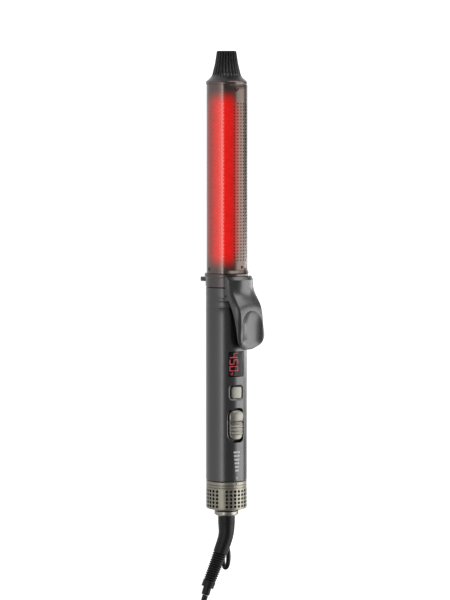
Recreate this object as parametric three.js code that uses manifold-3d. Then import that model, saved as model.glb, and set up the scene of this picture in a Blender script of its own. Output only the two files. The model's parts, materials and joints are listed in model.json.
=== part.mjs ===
// A clamp curling iron with an infrared-lit barrel, digital display, fan-cooled handle and swivel cord.
// Millimetres. The iron is drawn along its own axis: Z runs toward the cool tip, X is the side with
// the clamp lever, and z = 0 is the shoulder of the vent cap. It is then laid on its flip-out foot and
// on the rim of the vent cap, with the lever up and the cord running along +X on the surface.
import * as THREE from 'three';
import { mergeVertices } from 'three/addons/utils/BufferGeometryUtils.js';
import Module from 'manifold-3d';

const wasm = await Module();
wasm.setup();

// ---------- driving dimensions ----------
const GAP = 0.3;
const ROUND = 36;

const BARREL_R = 15.8;
const BARREL_WALL = 0.9;
const BARREL_Z = [185.6, 333.4];
const TIP_END_Z = 360.4;

const HANDLE_R = 16.3;
const HANDLE_WALL = 2;
const HANDLE_Z = [21.8, 174.4];

const COLLAR_Z = [174.7, 185.3];
const COLLAR_R = { base: 16.6, neck: 16.9, flange: 17.3 };

const CAP_R = 16.1;
const CAP_WALL = 1.5;
const CAP_TOP_Z = 21.5;
const CAP_RIM_Z = 0.2;

const CLAMP_HALF_ANGLE = 54;
const CLAMP_Z = [185.7, 333.2];
const CLAMP_R = [16.05, 16.6];
const HINGE = { u: 12.5, z: 168, pinR: 1.2, earIn: 13.25, earOut: 14.9 };

const FOOT = { pinU: -18.2, z: 180.1, reach: 22.5, width: 12, thick: 3.3, pinR: 0.8 };

// Along z: half width, and the heights of the side edge, of the crest beside it and of the middle.
// A row's base says how much of it still wraps round the collar as an arc.
const LEVER_ROWS = [
  { z: 183.4, base: 1 },
  { z: 176, base: 1 },
  { z: 171, base: 0.9, half: 14.3, edge: 16.9, crest: 18.5, middle: 21.2, thick: 2.9 },
  { z: 166, base: 0.5, half: 14.6, edge: 18.3, crest: 19.6, middle: 21.8, thick: 2.9 },
  { z: 161, base: 0.1, half: 15.1, edge: 20.4, crest: 22, middle: 23.6, thick: 2.9 },
  { z: 154.1, base: 0, half: 15.3, edge: 23.1, crest: 25.6, middle: 25.8, thick: 2.9 },
  { z: 143.8, base: 0, half: 15.2, edge: 25.2, crest: 27.2, middle: 25.7, thick: 2.9 },
  { z: 134.3, base: 0, half: 14.9, edge: 25.8, crest: 27.5, middle: 25.9, thick: 2.8 },
  { z: 130.4, base: 0, half: 13.3, edge: 25.4, crest: 27, middle: 25.4, thick: 2.4 },
  { z: 127.2, base: 0, half: 9.6, edge: 24.5, crest: 25.9, middle: 24.4, thick: 1.9 },
  { z: 125, base: 0, half: 5.4, edge: 23.5, crest: 24.7, middle: 23.4, thick: 1.5 },
];
const LEVER_BASE = { outer: 20.6, inner: 17.7, halfAngle: 50, bend: 43.6, edgeR: 18.6 };
const LEVER_CREST = 0.8;
const SPRING = { z: 150, from: 17.1, to: 21.3, coilR: 2.4, wireR: 0.4, turns: 3 };

const PANEL_ANGLE = -17.5;
const DISPLAY = { z: 114.2, width: 13.5, height: 19.7 };
const BUTTON = { z: 91.7, width: 9.6, height: 9.2 };
const SLIDER = { z: 65.8, width: 12.4, height: 23.3, travel: 1.6 };

const WINDOW_FRONT = { from: -102, to: -21, slots: [-24, 0, 24], boardHalf: 6 };
const WINDOW_REAR = { from: 54, to: 102, slots: [-12, 12], boardHalf: 4 };

const CORD_R = 2.3;
// Points of the strain relief's middle line, from the swivel sleeve to its end on the surface.
const RELIEF_PATH = [
  [0, 0, -14.8], [0, 0, -20], [-0.5, -0.7, -25.5], [-2.6, -3.8, -36], [-8.27, -12.2, -62.3],
];
const RELIEF_END = [-9.77, -14.2, -70.7];
const LOOP = { u: -6.2, v: 6, z: -39.5, outer: [6.8, 9.5], inner: [3.7, 6.4], thick: 3.1 };

// The lead is measured along +X from the vent cap's shoulder, on the surface it lies on.
const HANK = { nearX: 99, run: 92, lanes: 2, layers: 4, pitch: 4.65, bendR: 13.8, midY: -2.2, floor: 1.4 };
const HANK_OUTER = HANK.bendR + HANK.pitch * (HANK.lanes - 1) + CORD_R;
const HANK_LENGTH = HANK.run + 2 * HANK_OUTER;
const HANK_TOP = HANK.floor + HANK.pitch * (HANK.layers - 1) + 2 * CORD_R;
const ENTRY_Y = HANK.midY - HANK.bendR - HANK.pitch;
const PLUG = { reliefX: 270, reliefLength: 24, body: 25, width: 24, height: 14, blade: 16 };

// ---------- small helpers ----------
const rad = THREE.MathUtils.degToRad;
const parts = new THREE.Group();
const iron = new THREE.Group();
const lead = new THREE.Group();
parts.add(iron, lead);

function closed(geometry) {
  const bare = geometry.index ? geometry.toNonIndexed() : geometry.clone();
  bare.deleteAttribute('normal');
  bare.deleteAttribute('uv');
  const merged = mergeVertices(bare, 1e-4);
  const index = merged.index.array;
  const kept = [];
  for (let i = 0; i < index.length; i += 3) {
    const [a, b, c] = [index[i], index[i + 1], index[i + 2]];
    if (a !== b && b !== c && c !== a) kept.push(a, b, c);
  }
  merged.setIndex(kept);
  return merged;
}

function solid(geometry) {
  const mesh = closed(geometry);
  return new wasm.Manifold(new wasm.Mesh({
    numProp: 3,
    vertProperties: Float32Array.from(mesh.attributes.position.array),
    triVerts: Uint32Array.from(mesh.index.array),
  }));
}

function surface(manifold) {
  const mesh = manifold.getMesh();
  const geometry = new THREE.BufferGeometry();
  geometry.setAttribute('position', new THREE.BufferAttribute(mesh.vertProperties, 3));
  geometry.setIndex(Array.from(mesh.triVerts));
  return geometry;
}

function cut(base, ...tools) {
  return surface(tools.reduce((whole, tool) => whole.subtract(solid(tool)), solid(base)));
}

function join(base, ...others) {
  return surface(others.reduce((whole, other) => whole.add(solid(other)), solid(base)));
}

function common(base, other) {
  return surface(solid(base).intersect(solid(other)));
}

function finish(color, roughness, metalness) {
  return new THREE.MeshStandardMaterial({ color, roughness, metalness });
}

function piece(name, geometry, material, group = iron) {
  const shape = closed(geometry);
  shape.computeVertexNormals();
  const mesh = new THREE.Mesh(shape, material);
  mesh.name = name;
  group.add(mesh);
  return mesh;
}

function lathe(outline, segments = ROUND) {
  const points = outline.map(([r, z]) => new THREE.Vector2(r, z));
  points.push(points[0].clone());
  return new THREE.LatheGeometry(points, segments).rotateX(Math.PI / 2);
}

function tube(outer, inner, z0, z1, segments = ROUND) {
  return lathe([[outer, z0], [outer, z1], [inner, z1], [inner, z0]], segments);
}

function rod(radius, z0, z1, segments = 24) {
  return lathe([[0, z0], [radius, z0], [radius, z1], [0, z1]], segments);
}

function box(x, y, z) {
  const shape = new THREE.BoxGeometry(x[1] - x[0], y[1] - y[0], z[1] - z[0]);
  return shape.translate((x[0] + x[1]) / 2, (y[0] + y[1]) / 2, (z[0] + z[1]) / 2);
}

function rodAcross(radius, halfLength, u, z, segments = 24) {
  return rod(radius, -halfLength, halfLength, segments).rotateX(Math.PI / 2).translate(u, 0, z);
}

function rodOutward(radius, from, to, angle, z, segments = 20) {
  return rod(radius, from, to, segments).rotateY(Math.PI / 2).rotateZ(rad(angle)).translate(0, 0, z);
}

function outlineOf(points) {
  return new THREE.Shape(points.map(([x, y]) => new THREE.Vector2(x, y)));
}

function arc(radius, from, to, steps) {
  return Array.from({ length: steps + 1 }, (_, i) => {
    const angle = rad(from + ((to - from) * i) / steps);
    return [radius * Math.cos(angle), radius * Math.sin(angle)];
  });
}

function sector(inner, outer, from, to, z0, z1, steps = 12) {
  const outline = outlineOf([...arc(outer, from, to, steps), ...arc(inner, to, from, steps)]);
  const extruded = new THREE.ExtrudeGeometry(outline, { depth: z1 - z0, bevelEnabled: false });
  return extruded.translate(0, 0, z0);
}

function sweep(points, radius, sides, steps) {
  const section = outlineOf(arc(radius, 0, 360, sides).slice(0, -1));
  const through = points.map((point) => new THREE.Vector3(...point));
  const extrudePath = new THREE.CatmullRomCurve3(through, false, 'centripetal');
  return new THREE.ExtrudeGeometry(section, { steps, bevelEnabled: false, extrudePath });
}

// A sheet between an outer and an inner face, given as rows of points that run across it.
function sheet(outer, inner) {
  const rows = outer.length;
  const columns = outer[0].length;
  const positions = [...outer.flat(), ...inner.flat()].flat();
  const out = (i, j) => i * columns + j;
  const into = (i, j) => rows * columns + i * columns + j;
  const faces = [];
  const quad = (a, b, c, d) => faces.push(a, b, c, a, c, d);
  for (let i = 0; i + 1 < rows; i += 1) {
    for (let j = 0; j + 1 < columns; j += 1) {
      quad(out(i, j), out(i, j + 1), out(i + 1, j + 1), out(i + 1, j));
      quad(into(i, j), into(i + 1, j), into(i + 1, j + 1), into(i, j + 1));
    }
    quad(out(i, 0), out(i + 1, 0), into(i + 1, 0), into(i, 0));
    const last = columns - 1;
    quad(out(i, last), into(i, last), into(i + 1, last), out(i + 1, last));
  }
  for (let j = 0; j + 1 < columns; j += 1) {
    const last = rows - 1;
    quad(out(0, j), into(0, j), into(0, j + 1), out(0, j + 1));
    quad(out(last, j), out(last, j + 1), into(last, j + 1), into(last, j));
  }
  const geometry = new THREE.BufferGeometry();
  geometry.setAttribute('position', new THREE.Float32BufferAttribute(positions, 3));
  geometry.setIndex(faces);
  return geometry;
}

function onPanel(geometry) {
  return geometry.rotateZ(rad(PANEL_ANGLE));
}

// ---------- materials ----------
const gunmetal = finish(0x5b5b5d, 0.38, 0.6);
const taupe = finish(0x7a716b, 0.4, 0.7);
const titanium = finish(0x9a9186, 0.3, 0.85);
const champagne = finish(0xb3ac9b, 0.35, 0.8);
const blackPlastic = finish(0x18181a, 0.5, 0);
const fluted = finish(0x222223, 0.45, 0);
const steel = finish(0xb8b8ba, 0.3, 1);
const aluminium = finish(0xc8c9cc, 0.35, 1);
const ceramic = finish(0xe6e2d6, 0.7, 0);
const redDiffuser = finish(0xe01a14, 0.3, 0);
const circuitGreen = finish(0x1f5b3a, 0.6, 0);
const screenGlass = finish(0x0c0b0c, 0.1, 0);
const innerPlastic = finish(0x39393c, 0.6, 0);
const copper = finish(0xb9874c, 0.35, 1);
const cordBlack = finish(0x111112, 0.6, 0);
const strapGrey = finish(0x4a4a4a, 0.9, 0);

// ---------- handle ----------
function handleTube() {
  const inner = HANDLE_R - HANDLE_WALL;
  const body = tube(HANDLE_R, inner, ...HANDLE_Z);
  const window = (width, height, z) =>
    onPanel(box([10, 20], [-width / 2, width / 2], [z - height / 2, z + height / 2]));
  const flats = [-1, 1].map((side) => {
    const edges = [side * 12.9, side * 20].sort((a, b) => a - b);
    return box([5, 15.5], edges, [161.8, 176]);
  });
  piece('handle_tube', cut(
    body,
    window(DISPLAY.width + 0.6, DISPLAY.height + 0.6, DISPLAY.z),
    window(BUTTON.width + 0.6, BUTTON.height + 0.6, BUTTON.z),
    window(SLIDER.width + 0.6, SLIDER.height + 2 * SLIDER.travel + 0.6, SLIDER.z),
    rodAcross(HINGE.pinR + GAP, 20, HINGE.u, HINGE.z),
    ...flats,
  ), gunmetal);
}

function barrelCollar() {
  const [z0, z1] = COLLAR_Z;
  const ring = lathe([
    [COLLAR_R.base, z0], [COLLAR_R.neck, z1 - 3.2], [COLLAR_R.flange, z1 - 2.9],
    [COLLAR_R.flange, z1 - 0.4], [COLLAR_R.flange - 0.4, z1], [14.9, z1], [14.9, z0],
  ]);
  const pocket = box([-20, -16.2], [-9, 9], [z0 - 1, FOOT.z + 3.4]);
  const lugs = [-1, 1].map((side) => {
    const across = [side * 6.4, side * 8.4].sort((a, b) => a - b);
    const middle = (across[0] + across[1]) / 2;
    const base = box([FOOT.pinU, -15.2], across, [FOOT.z - 2, FOOT.z + 2]);
    return join(base, rodAcross(2, 1, FOOT.pinU, FOOT.z).translate(0, middle, 0));
  });
  const bored = join(cut(ring, pocket), ...lugs);
  piece('barrel_collar', cut(bored, rodAcross(FOOT.pinR + 0.15, 9, FOOT.pinU, FOOT.z, 16)), taupe);
}

function hingePins() {
  piece('hinge_pin', rodAcross(HINGE.pinR, HINGE.earOut, HINGE.u, HINGE.z), steel);
  piece('stand_pin', rodAcross(FOOT.pinR, 8.3, FOOT.pinU, FOOT.z, 16), steel);
}

function standFoot() {
  const half = FOOT.width / 2;
  const knuckle = rodAcross(2, half, FOOT.pinU, FOOT.z);
  const blade = box(
    [-FOOT.reach, FOOT.pinU], [-half, half], [FOOT.z - FOOT.thick / 2, FOOT.z + FOOT.thick / 2],
  );
  const bore = rodAcross(FOOT.pinR + GAP, 9, FOOT.pinU, FOOT.z, 16);
  piece('stand_foot', cut(join(knuckle, blade), bore), taupe);
}

// ---------- barrel ----------
function barrelTube() {
  const slots = [];
  for (const window of [WINDOW_FRONT, WINDOW_REAR]) {
    for (const offset of window.slots) {
      const angle = (window.from + window.to) / 2 + offset;
      for (let row = 0; row < 3; row += 1) {
        const z = 214 + 42 * row;
        slots.push(box([13, 18], [-1.4, 1.4], [z - 17, z + 17]).rotateZ(rad(angle)));
      }
    }
  }
  const screwHoles = screwPlaces().map(({ angle, z }) => rodOutward(2.1, 13, 18, angle, z));
  const inner = BARREL_R - BARREL_WALL;
  piece('barrel_tube', cut(tube(BARREL_R, inner, ...BARREL_Z), ...slots, ...screwHoles), titanium);
}

function screwPlaces() {
  return [
    { name: 'barrel_screw_near', angle: -108.5, z: 188.6 },
    { name: 'barrel_screw_far', angle: 108.5, z: 188.6 },
    { name: 'barrel_screw_under', angle: 180, z: 188.6 },
    { name: 'tip_screw', angle: 180, z: 329.7 },
  ];
}

function barrelScrews() {
  for (const { name, angle, z } of screwPlaces()) {
    piece(name, rodOutward(1.8, 14.85, 15.9, angle, z), steel);
  }
}

function coolTip() {
  const outline = [
    [0, 336], [11.5, 336], [11.5, 326], [14.5, 326], [14.5, 333.7], [16.3, 333.7], [16.3, 335.8],
    [13, 338.6], [11.65, 340.5], [10.3, 345.2], [9.2, 350], [8.3, 355.6], [7.9, 359.5],
    [7.2, TIP_END_Z], [0, TIP_END_Z],
  ];
  piece('cool_tip', lathe(outline), fluted);
}

function barrelInside() {
  piece('barrel_spigot', tube(14.5, 12.3, 176, 189.6, 24), blackPlastic);
  piece('tip_insulator', rod(14.4, 321.5, 324.5), ceramic);
  piece('heater_core', box([-4.5, 4.5], [-3, 3], [200, 318]), ceramic);
  piece('heat_spreader_front', sector(11.6, 14.5, -16, 50, 198, 320), aluminium);
  piece('heat_spreader_rear', sector(11.6, 14.5, 107, 253, 198, 320, 20), aluminium);
  for (const [name, { from, to, boardHalf }] of [['front', WINDOW_FRONT], ['rear', WINDOW_REAR]]) {
    piece(`ir_diffuser_${name}`, sector(13.4, 14.6, from + 1, to - 1, 191, 320, 14), redDiffuser);
    irBoard(`ir_board_${name}`, (from + to) / 2, boardHalf);
  }
  piece('thermistor', rod(1.2, 250, 258, 12).translate(0, -5, 0), ceramic);
  piece('thermal_fuse', rod(2, 184, 197, 16), steel);
}

function irBoard(name, angle, half) {
  const lamps = [];
  for (let row = 0; row < 6; row += 1) {
    const z = 206 + 20 * row;
    lamps.push(box([10.4, 11.5], [-1.5, 1.5], [z - 1.5, z + 1.5]));
  }
  const board = box([8.9, 10.5], [-half, half], [196, 318]);
  piece(name, join(board, ...lamps).rotateZ(rad(angle)), circuitGreen);
}

// ---------- clamp ----------
function clampPlate() {
  const [z0, z1] = CLAMP_Z;
  const plate = sector(...CLAMP_R, -CLAMP_HALF_ANGLE, CLAMP_HALF_ANGLE, z0 + 0.2, z1, 14);
  const rim = sector(16.45, 17.45, -CLAMP_HALF_ANGLE + 2, CLAMP_HALF_ANGLE - 2, z0, z0 + 2.4, 14);
  piece('clamp_plate', join(plate, rim), titanium);
}

function leverRow(row, across) {
  const angle = rad(LEVER_BASE.halfAngle * across);
  const past = Math.max(0, Math.abs(LEVER_BASE.halfAngle * across) - LEVER_BASE.bend);
  const drop = past / (LEVER_BASE.halfAngle - LEVER_BASE.bend);
  const outerR = THREE.MathUtils.lerp(LEVER_BASE.outer, LEVER_BASE.edgeR, drop);
  const wrap = {
    outer: [outerR * Math.cos(angle), outerR * Math.sin(angle)],
    inner: [LEVER_BASE.inner * Math.cos(angle), LEVER_BASE.inner * Math.sin(angle)],
  };
  if (row.base === 1) return wrap;
  const share = Math.abs(across) / LEVER_CREST;
  const height = share <= 1
    ? THREE.MathUtils.lerp(row.middle, row.crest, share * share)
    : THREE.MathUtils.lerp(row.crest, row.edge, (share - 1) / (1 / LEVER_CREST - 1));
  const pad = {
    outer: [height, row.half * across],
    inner: [height - row.thick, row.half * across * 0.96],
  };
  const mix = (key) => [0, 1].map((k) => THREE.MathUtils.lerp(pad[key][k], wrap[key][k], row.base));
  return { outer: mix('outer'), inner: mix('inner') };
}

function clampLever() {
  const across = [-1, -0.87, -LEVER_CREST, -0.54, -0.27, 0, 0.27, 0.54, LEVER_CREST, 0.87, 1];
  const rows = LEVER_ROWS.map((row) => across.map((s) => ({ z: row.z, ...leverRow(row, s) })));
  const face = (key) => rows.map((row) => row.map((p) => [p[key][0], p[key][1], p.z]));
  const shell = sheet(face('outer').map((row) => row.reverse()), face('inner').map((row) => row.reverse()));
  const ears = [-1, 1].map((side) => {
    const wall = [side * HINGE.earIn, side * HINGE.earOut].sort((a, b) => a - b);
    const half = (HINGE.earOut - HINGE.earIn) / 2;
    const lobe = rodAcross(4, half, HINGE.u, HINGE.z).translate(0, (wall[0] + wall[1]) / 2, 0);
    const web = box([HINGE.u, 17.4], wall, [163, 173]);
    return join(lobe, web);
  });
  const seat = rodOutward(3, 22.2, 24, 0, SPRING.z);
  const tongue = sector(17.75, 18.9, -24, 24, 183, 186.6, 6);
  const whole = join(shell, ...ears, tongue, seat);
  piece('clamp_lever', cut(whole, rodAcross(HINGE.pinR + GAP, 20, HINGE.u, HINGE.z)), gunmetal);
}

function clampRivets() {
  piece('clamp_rivet_tip', rodOutward(1.8, 16.9, 17.25, -18.5, 329.7), steel);
  piece('clamp_rivet_base', rodOutward(1.2, 16.9, 17.25, 0, 190.4), steel);
}

function leverSpring() {
  const steps = 10 * SPRING.turns;
  const points = [];
  for (let i = 0; i <= steps; i += 1) {
    const angle = (2 * Math.PI * i) / 10;
    const u = THREE.MathUtils.lerp(SPRING.from, SPRING.to, i / steps);
    points.push([u, SPRING.coilR * Math.cos(angle), SPRING.z + SPRING.coilR * Math.sin(angle)]);
  }
  piece('lever_spring', sweep(points, SPRING.wireR, 6, steps), steel);
}

// ---------- controls ----------
function controls() {
  const window = (z, width, height, p0, p1) =>
    box([p0, p1], [-width / 2, width / 2], [z - height / 2, z + height / 2]);
  const lens = common(
    window(DISPLAY.z, DISPLAY.width, DISPLAY.height, 13, 18),
    tube(HANDLE_R - 0.1, HANDLE_R - 1.5, 90, 140),
  );
  piece('display_window', onPanel(lens), screenGlass);
  piece('display_module', onPanel(window(DISPLAY.z, 12.6, 19.4, 8.9, 12.6)), innerPlastic);
  piece('tact_switch', onPanel(window(BUTTON.z, 6, 6, 8.9, 11.6)), innerPlastic);
  piece('slide_switch', onPanel(window(SLIDER.z, 7, 20, 8.9, 12.2)), innerPlastic);
  piece('control_board', onPanel(window(87, 18.6, 80, 7, 8.6)), circuitGreen);

  const cap = join(window(BUTTON.z, BUTTON.width, BUTTON.height, 14, 16.6), rod(1.6, 12.6, 14.5, 12)
    .rotateY(Math.PI / 2).translate(0, 0, BUTTON.z));
  piece('power_button', onPanel(cap), champagne);

  const knob = common(
    window(SLIDER.z, SLIDER.width, SLIDER.height, 12.6, 19),
    tube(HANDLE_R + 1, HANDLE_R - 2.2, 40, 90),
  );
  piece('mode_slider', onPanel(knob), champagne);
}

// ---------- inside the handle ----------
function handleInside() {
  piece('chassis_tray', box([-7.2, -5.7], [-11.4, 11.4], [64, 165]), innerPlastic);
  piece('air_duct', tube(3, 2.2, 44, 172, 20).translate(-10.9, 0, 0), innerPlastic);
  piece('capacitor', rod(4.4, 68, 92, 20), aluminium);
  piece('power_module', box([-5.3, 3], [-6, 6], [96, 120]), innerPlastic);
  piece('fan_motor', cut(rod(6.4, 38, 60), rod(1.3, 30, 46, 12)), steel);
  const openings = [0, 1, 2].map((i) => box([7.8, 12.8], [-4.4, 4.4], [30, 40]).rotateZ(rad(60 + 120 * i)));
  piece('fan_mount', cut(tube(14, 1.6, 35.2, 37.6), ...openings), innerPlastic);
  impeller();
}

function impeller() {
  const hub = rod(4, 27, 33.5);
  const shaft = rod(1, 33, 44, 12);
  const blades = [];
  for (let i = 0; i < 7; i += 1) {
    blades.push(box([3, 12.4], [-0.4, 0.4], [27.4, 33]).rotateX(rad(-28))
      .translate(0, 30 * Math.sin(rad(-28)), 30 * (1 - Math.cos(rad(-28)))).rotateZ(rad((360 * i) / 7)));
  }
  piece('impeller', join(hub, shaft, ...blades), blackPlastic);
}

// ---------- vent cap and cord exit ----------
function ventCap() {
  const shell = lathe([
    [7.9, -2.6], [10.8, -2.4], [13.6, -0.8], [CAP_R, CAP_RIM_Z], [CAP_R, CAP_TOP_Z],
    [13.9, CAP_TOP_Z], [13.9, 24.6], [12.9, 24.6], [12.9, 20], [CAP_R - CAP_WALL, 19],
    [CAP_R - CAP_WALL, 1], [12.8, 0.6], [10.5, -0.9], [7.9, -1.1],
  ]);
  const slots = [];
  for (let i = 0; i < 5; i += 1) {
    slots.push(box([-20, 20], [-1.4, 1.4], [3, 14]).rotateZ(rad(36 * i)));
  }
  piece('vent_cap', cut(shell, ...slots), champagne);
  piece('lint_screen', tube(14, 13.3, 1.6, 18.4, 24), steel);
}

function cordExit() {
  piece('swivel_socket', lathe([
    [7.4, -3.3], [7.4, 15], [9.5, 15.2], [9.5, 18], [5.9, 18], [5.9, -3.3],
  ], 24), blackPlastic);
  piece('brush_block', rod(5.4, 19, 22.5, 20), innerPlastic);
  piece('cord_collar', lathe([
    [8.4, -6.7], [9.3, -5.8], [9.3, -3.6], [7.3, -3.6], [7.3, -6.7],
  ], 24), champagne);

  const stem = lathe([
    [0, -14.5], [6.75, -14.5], [6.75, -6.9], [5.5, -6.7], [5.5, 10], [3.6, 10], [3.6, 17.6], [0, 17.6],
  ], 24);
  piece('swivel_stem', stem, blackPlastic);
  piece('slip_rings', tube(5.2, 3.9, 10.4, 15.6, 24), copper);
}

function strainRelief() {
  const body = sweep(RELIEF_PATH.slice(0, 4), 6, 20, 8);
  const taper = cone(RELIEF_PATH[3], RELIEF_PATH[4], 5.7, 4.9, 20);
  const nozzle = cone(RELIEF_PATH[4], RELIEF_END, 3.2, 3.1, 14);
  piece('strain_relief', join(body, taper, nozzle), blackPlastic);
}

function cone(from, to, r0, r1, sides) {
  const start = new THREE.Vector3(...from);
  const along = new THREE.Vector3(...to).sub(start);
  const length = along.length();
  const turn = new THREE.Quaternion().setFromUnitVectors(new THREE.Vector3(0, 0, 1), along.normalize());
  const shape = lathe([[0, -0.3], [r0, -0.3], [r1, length], [0, length]], sides);
  return shape.applyQuaternion(turn).translate(...from);
}

function hangLoop() {
  const outline = new THREE.Shape().absellipse(0, 0, ...LOOP.outer, 0, 2 * Math.PI);
  outline.holes.push(new THREE.Path().absellipse(0, 0, ...LOOP.inner, 0, 2 * Math.PI, true));
  const ring = new THREE.ExtrudeGeometry(outline, {
    depth: LOOP.thick, bevelEnabled: false, curveSegments: 16,
  });
  ring.translate(0, 0, -LOOP.thick / 2).rotateX(Math.PI / 2);
  const tab = box([-1.6, 1.6], [-1, 1], [LOOP.outer[1] - 1.6, LOOP.outer[1] + 5.2]);
  piece('hang_loop', join(ring, tab).translate(LOOP.u, LOOP.v, LOOP.z), blackPlastic);
}

// ---------- cord, hank and plug ----------
function cordTube() {
  const end = HANK.nearX - GAP;
  piece('cord_tube', sweep([
    [70.9, -14.28, 3.7], [75, -15.4, 3.05], [81, -17, 2.55], [88, -18.6, 2.5], [94, -19.8, 2.9],
    [end, ENTRY_Y, 3.5],
  ], CORD_R, 8, 10), cordBlack, lead);
}

function hankOutline() {
  const half = HANK.run / 2;
  const waist = 2 * HANK.pitch;
  const steps = 8;
  const side = [];
  for (let i = 0; i <= steps; i += 1) {
    const along = -half + (HANK.run * i) / steps;
    const pinch = 0.5 + 0.5 * Math.cos((Math.PI * along) / half);
    side.push([along, THREE.MathUtils.lerp(HANK_OUTER, waist, pinch)]);
  }
  const end = arc(HANK_OUTER, 90, -90, 8).slice(1, -1);
  return outlineOf([
    ...side,
    ...end.map(([x, y]) => [half + x, y]),
    ...side.map(([x, y]) => [-x, -y]),
    ...end.map(([x, y]) => [-half - x, -y]),
  ]);
}

function cordHank() {
  const height = HANK_TOP - HANK.floor;
  const middleX = HANK.nearX + HANK_LENGTH / 2;
  const block = new THREE.ExtrudeGeometry(hankOutline(), { depth: height, bevelEnabled: false });
  piece('cord_hank', block.translate(middleX, HANK.midY, HANK.floor), cordBlack, lead);

  const waist = 2 * HANK.pitch + 0.95;
  const strap = (grow, half) => box(
    [middleX - half, middleX + half],
    [HANK.midY - waist - grow, HANK.midY + waist + grow],
    [HANK.floor - 0.35 - grow, HANK_TOP + 0.35 + grow],
  );
  piece('cord_tie', cut(strap(0.95, 4), strap(0, 6)), strapGrey, lead);
}

function plug() {
  const hankEnd = HANK.nearX + HANK_LENGTH + GAP;
  const topZ = HANK_TOP - CORD_R;
  const plugZ = PLUG.height / 2 + 0.1;
  const y = ENTRY_Y;
  piece('cord_tail', sweep([
    [hankEnd, y + 0.6, topZ], [hankEnd + 8, y + 1.6, topZ - 1.6], [hankEnd + 20, y + 6, topZ - 6],
    [PLUG.reliefX - 8, HANK.midY - 1, plugZ + 0.5], [PLUG.reliefX - 2 * GAP, HANK.midY, plugZ],
  ], CORD_R, 8, 9), cordBlack, lead);

  const x0 = PLUG.reliefX;
  const x1 = x0 + PLUG.reliefLength;
  const x2 = x1 + PLUG.body;
  const relief = cone([x0 + 0.3, 0, 0], [x1 + 1, 0, 0], 3.1, 5, 16);
  const [w, neck] = [PLUG.width / 2, 7];
  const body = new THREE.ExtrudeGeometry(
    outlineOf([[x1, -neck], [x1 + 9, -w], [x2, -w], [x2, w], [x1 + 9, w], [x1, neck]]),
    { depth: PLUG.height, bevelEnabled: false },
  );
  body.translate(0, 0, -PLUG.height / 2);
  piece('plug_body', join(body, relief).translate(0, HANK.midY, plugZ), cordBlack, lead);

  for (const [name, side] of [['plug_blade_left', -1], ['plug_blade_right', 1]]) {
    const blade = box([x2 + GAP, x2 + PLUG.blade], [side * 6.35 - 0.75, side * 6.35 + 0.75], [-3.2, 3.2]);
    piece(name, blade.translate(0, HANK.midY, plugZ), steel, lead);
  }
}

// ---------- assembly ----------
handleTube();
barrelCollar();
hingePins();
standFoot();
barrelTube();
barrelScrews();
coolTip();
barrelInside();
clampPlate();
clampLever();
clampRivets();
leverSpring();
controls();
handleInside();
ventCap();
cordExit();
strainRelief();
hangLoop();
cordTube();
cordHank();
plug();

// Lay the iron on its foot and on the rim of the vent cap, centred over the origin.
const TILT = Math.atan2(FOOT.reach - CAP_R, FOOT.z - FOOT.thick / 2 - CAP_RIM_Z);
iron.rotation.y = -Math.PI / 2 + TILT;
iron.position.z = CAP_R * Math.cos(TILT) - CAP_RIM_Z * Math.sin(TILT);
parts.updateMatrixWorld(true);
const bounds = new THREE.Box3().setFromObject(iron, true);
parts.position.x = -(bounds.min.x + bounds.max.x) / 2;
parts.updateMatrixWorld(true);

export default parts;
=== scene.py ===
"""The looks of a clamp curling iron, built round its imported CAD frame.

Pieces of the iron are drawn in the iron's own axes, in millimetres: Z runs toward the cool tip, X is
the side with the clamp lever, and z = 0 is the shoulder of the vent cap. LOCAL then lays them in the
row frame. The cord, its tie and its plug are drawn in the row frame, measured from that shoulder.
"""
import json
import math

import bpy
import numpy as np
from mathutils import Matrix, Vector


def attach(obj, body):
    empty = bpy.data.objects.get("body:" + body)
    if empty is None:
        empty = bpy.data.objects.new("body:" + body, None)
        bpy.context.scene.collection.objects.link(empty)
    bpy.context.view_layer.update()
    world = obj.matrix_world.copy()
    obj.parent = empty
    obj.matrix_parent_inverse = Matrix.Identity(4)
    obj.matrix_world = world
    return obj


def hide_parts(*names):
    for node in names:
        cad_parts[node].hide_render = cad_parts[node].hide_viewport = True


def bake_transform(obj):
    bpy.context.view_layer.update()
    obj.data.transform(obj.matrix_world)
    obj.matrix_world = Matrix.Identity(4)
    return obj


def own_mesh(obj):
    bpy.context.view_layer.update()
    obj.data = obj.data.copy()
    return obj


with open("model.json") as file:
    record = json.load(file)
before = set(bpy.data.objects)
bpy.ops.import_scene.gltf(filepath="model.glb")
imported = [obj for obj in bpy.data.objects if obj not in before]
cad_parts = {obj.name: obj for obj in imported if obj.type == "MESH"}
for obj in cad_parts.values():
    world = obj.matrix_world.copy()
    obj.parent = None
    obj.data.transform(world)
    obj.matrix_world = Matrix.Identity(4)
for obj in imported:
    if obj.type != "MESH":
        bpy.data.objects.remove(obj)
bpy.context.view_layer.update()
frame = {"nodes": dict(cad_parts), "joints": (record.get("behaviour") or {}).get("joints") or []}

# ---------- driving dimensions, in millimetres ----------
MM = 0.001
HANDLE_R = 16.3
BARREL_R, BARREL_Z = 15.8, (185.6, 333.4)
PLATE_R, PLATE_END_Z, PLATE_HALF_ANGLE = 16.6, 333.2, 54.0
CAP_R = 16.1
HINGE_U, HINGE_Z = 12.5, 168.0
FOOT_U, FOOT_Z = -18.2, 180.1
PANEL_ANGLE = -17.5
DISPLAY = {"z": 114.2, "width": 13.5, "height": 19.7}
BUTTON = {"z": 91.7, "width": 9.6, "height": 9.2}
SLIDER = {"z": 65.8, "width": 12.4, "height": 23.3, "travel": 1.6}
FRONT_WINDOW = {"middle": -61.5, "half": 40.5}
REAR_WINDOW = {"middle": 78.0, "half": 24.0}
WINDOW_Z = (192.5, 325.5)
CORD_R = 2.3
PLUG_Z = 7.1
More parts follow.
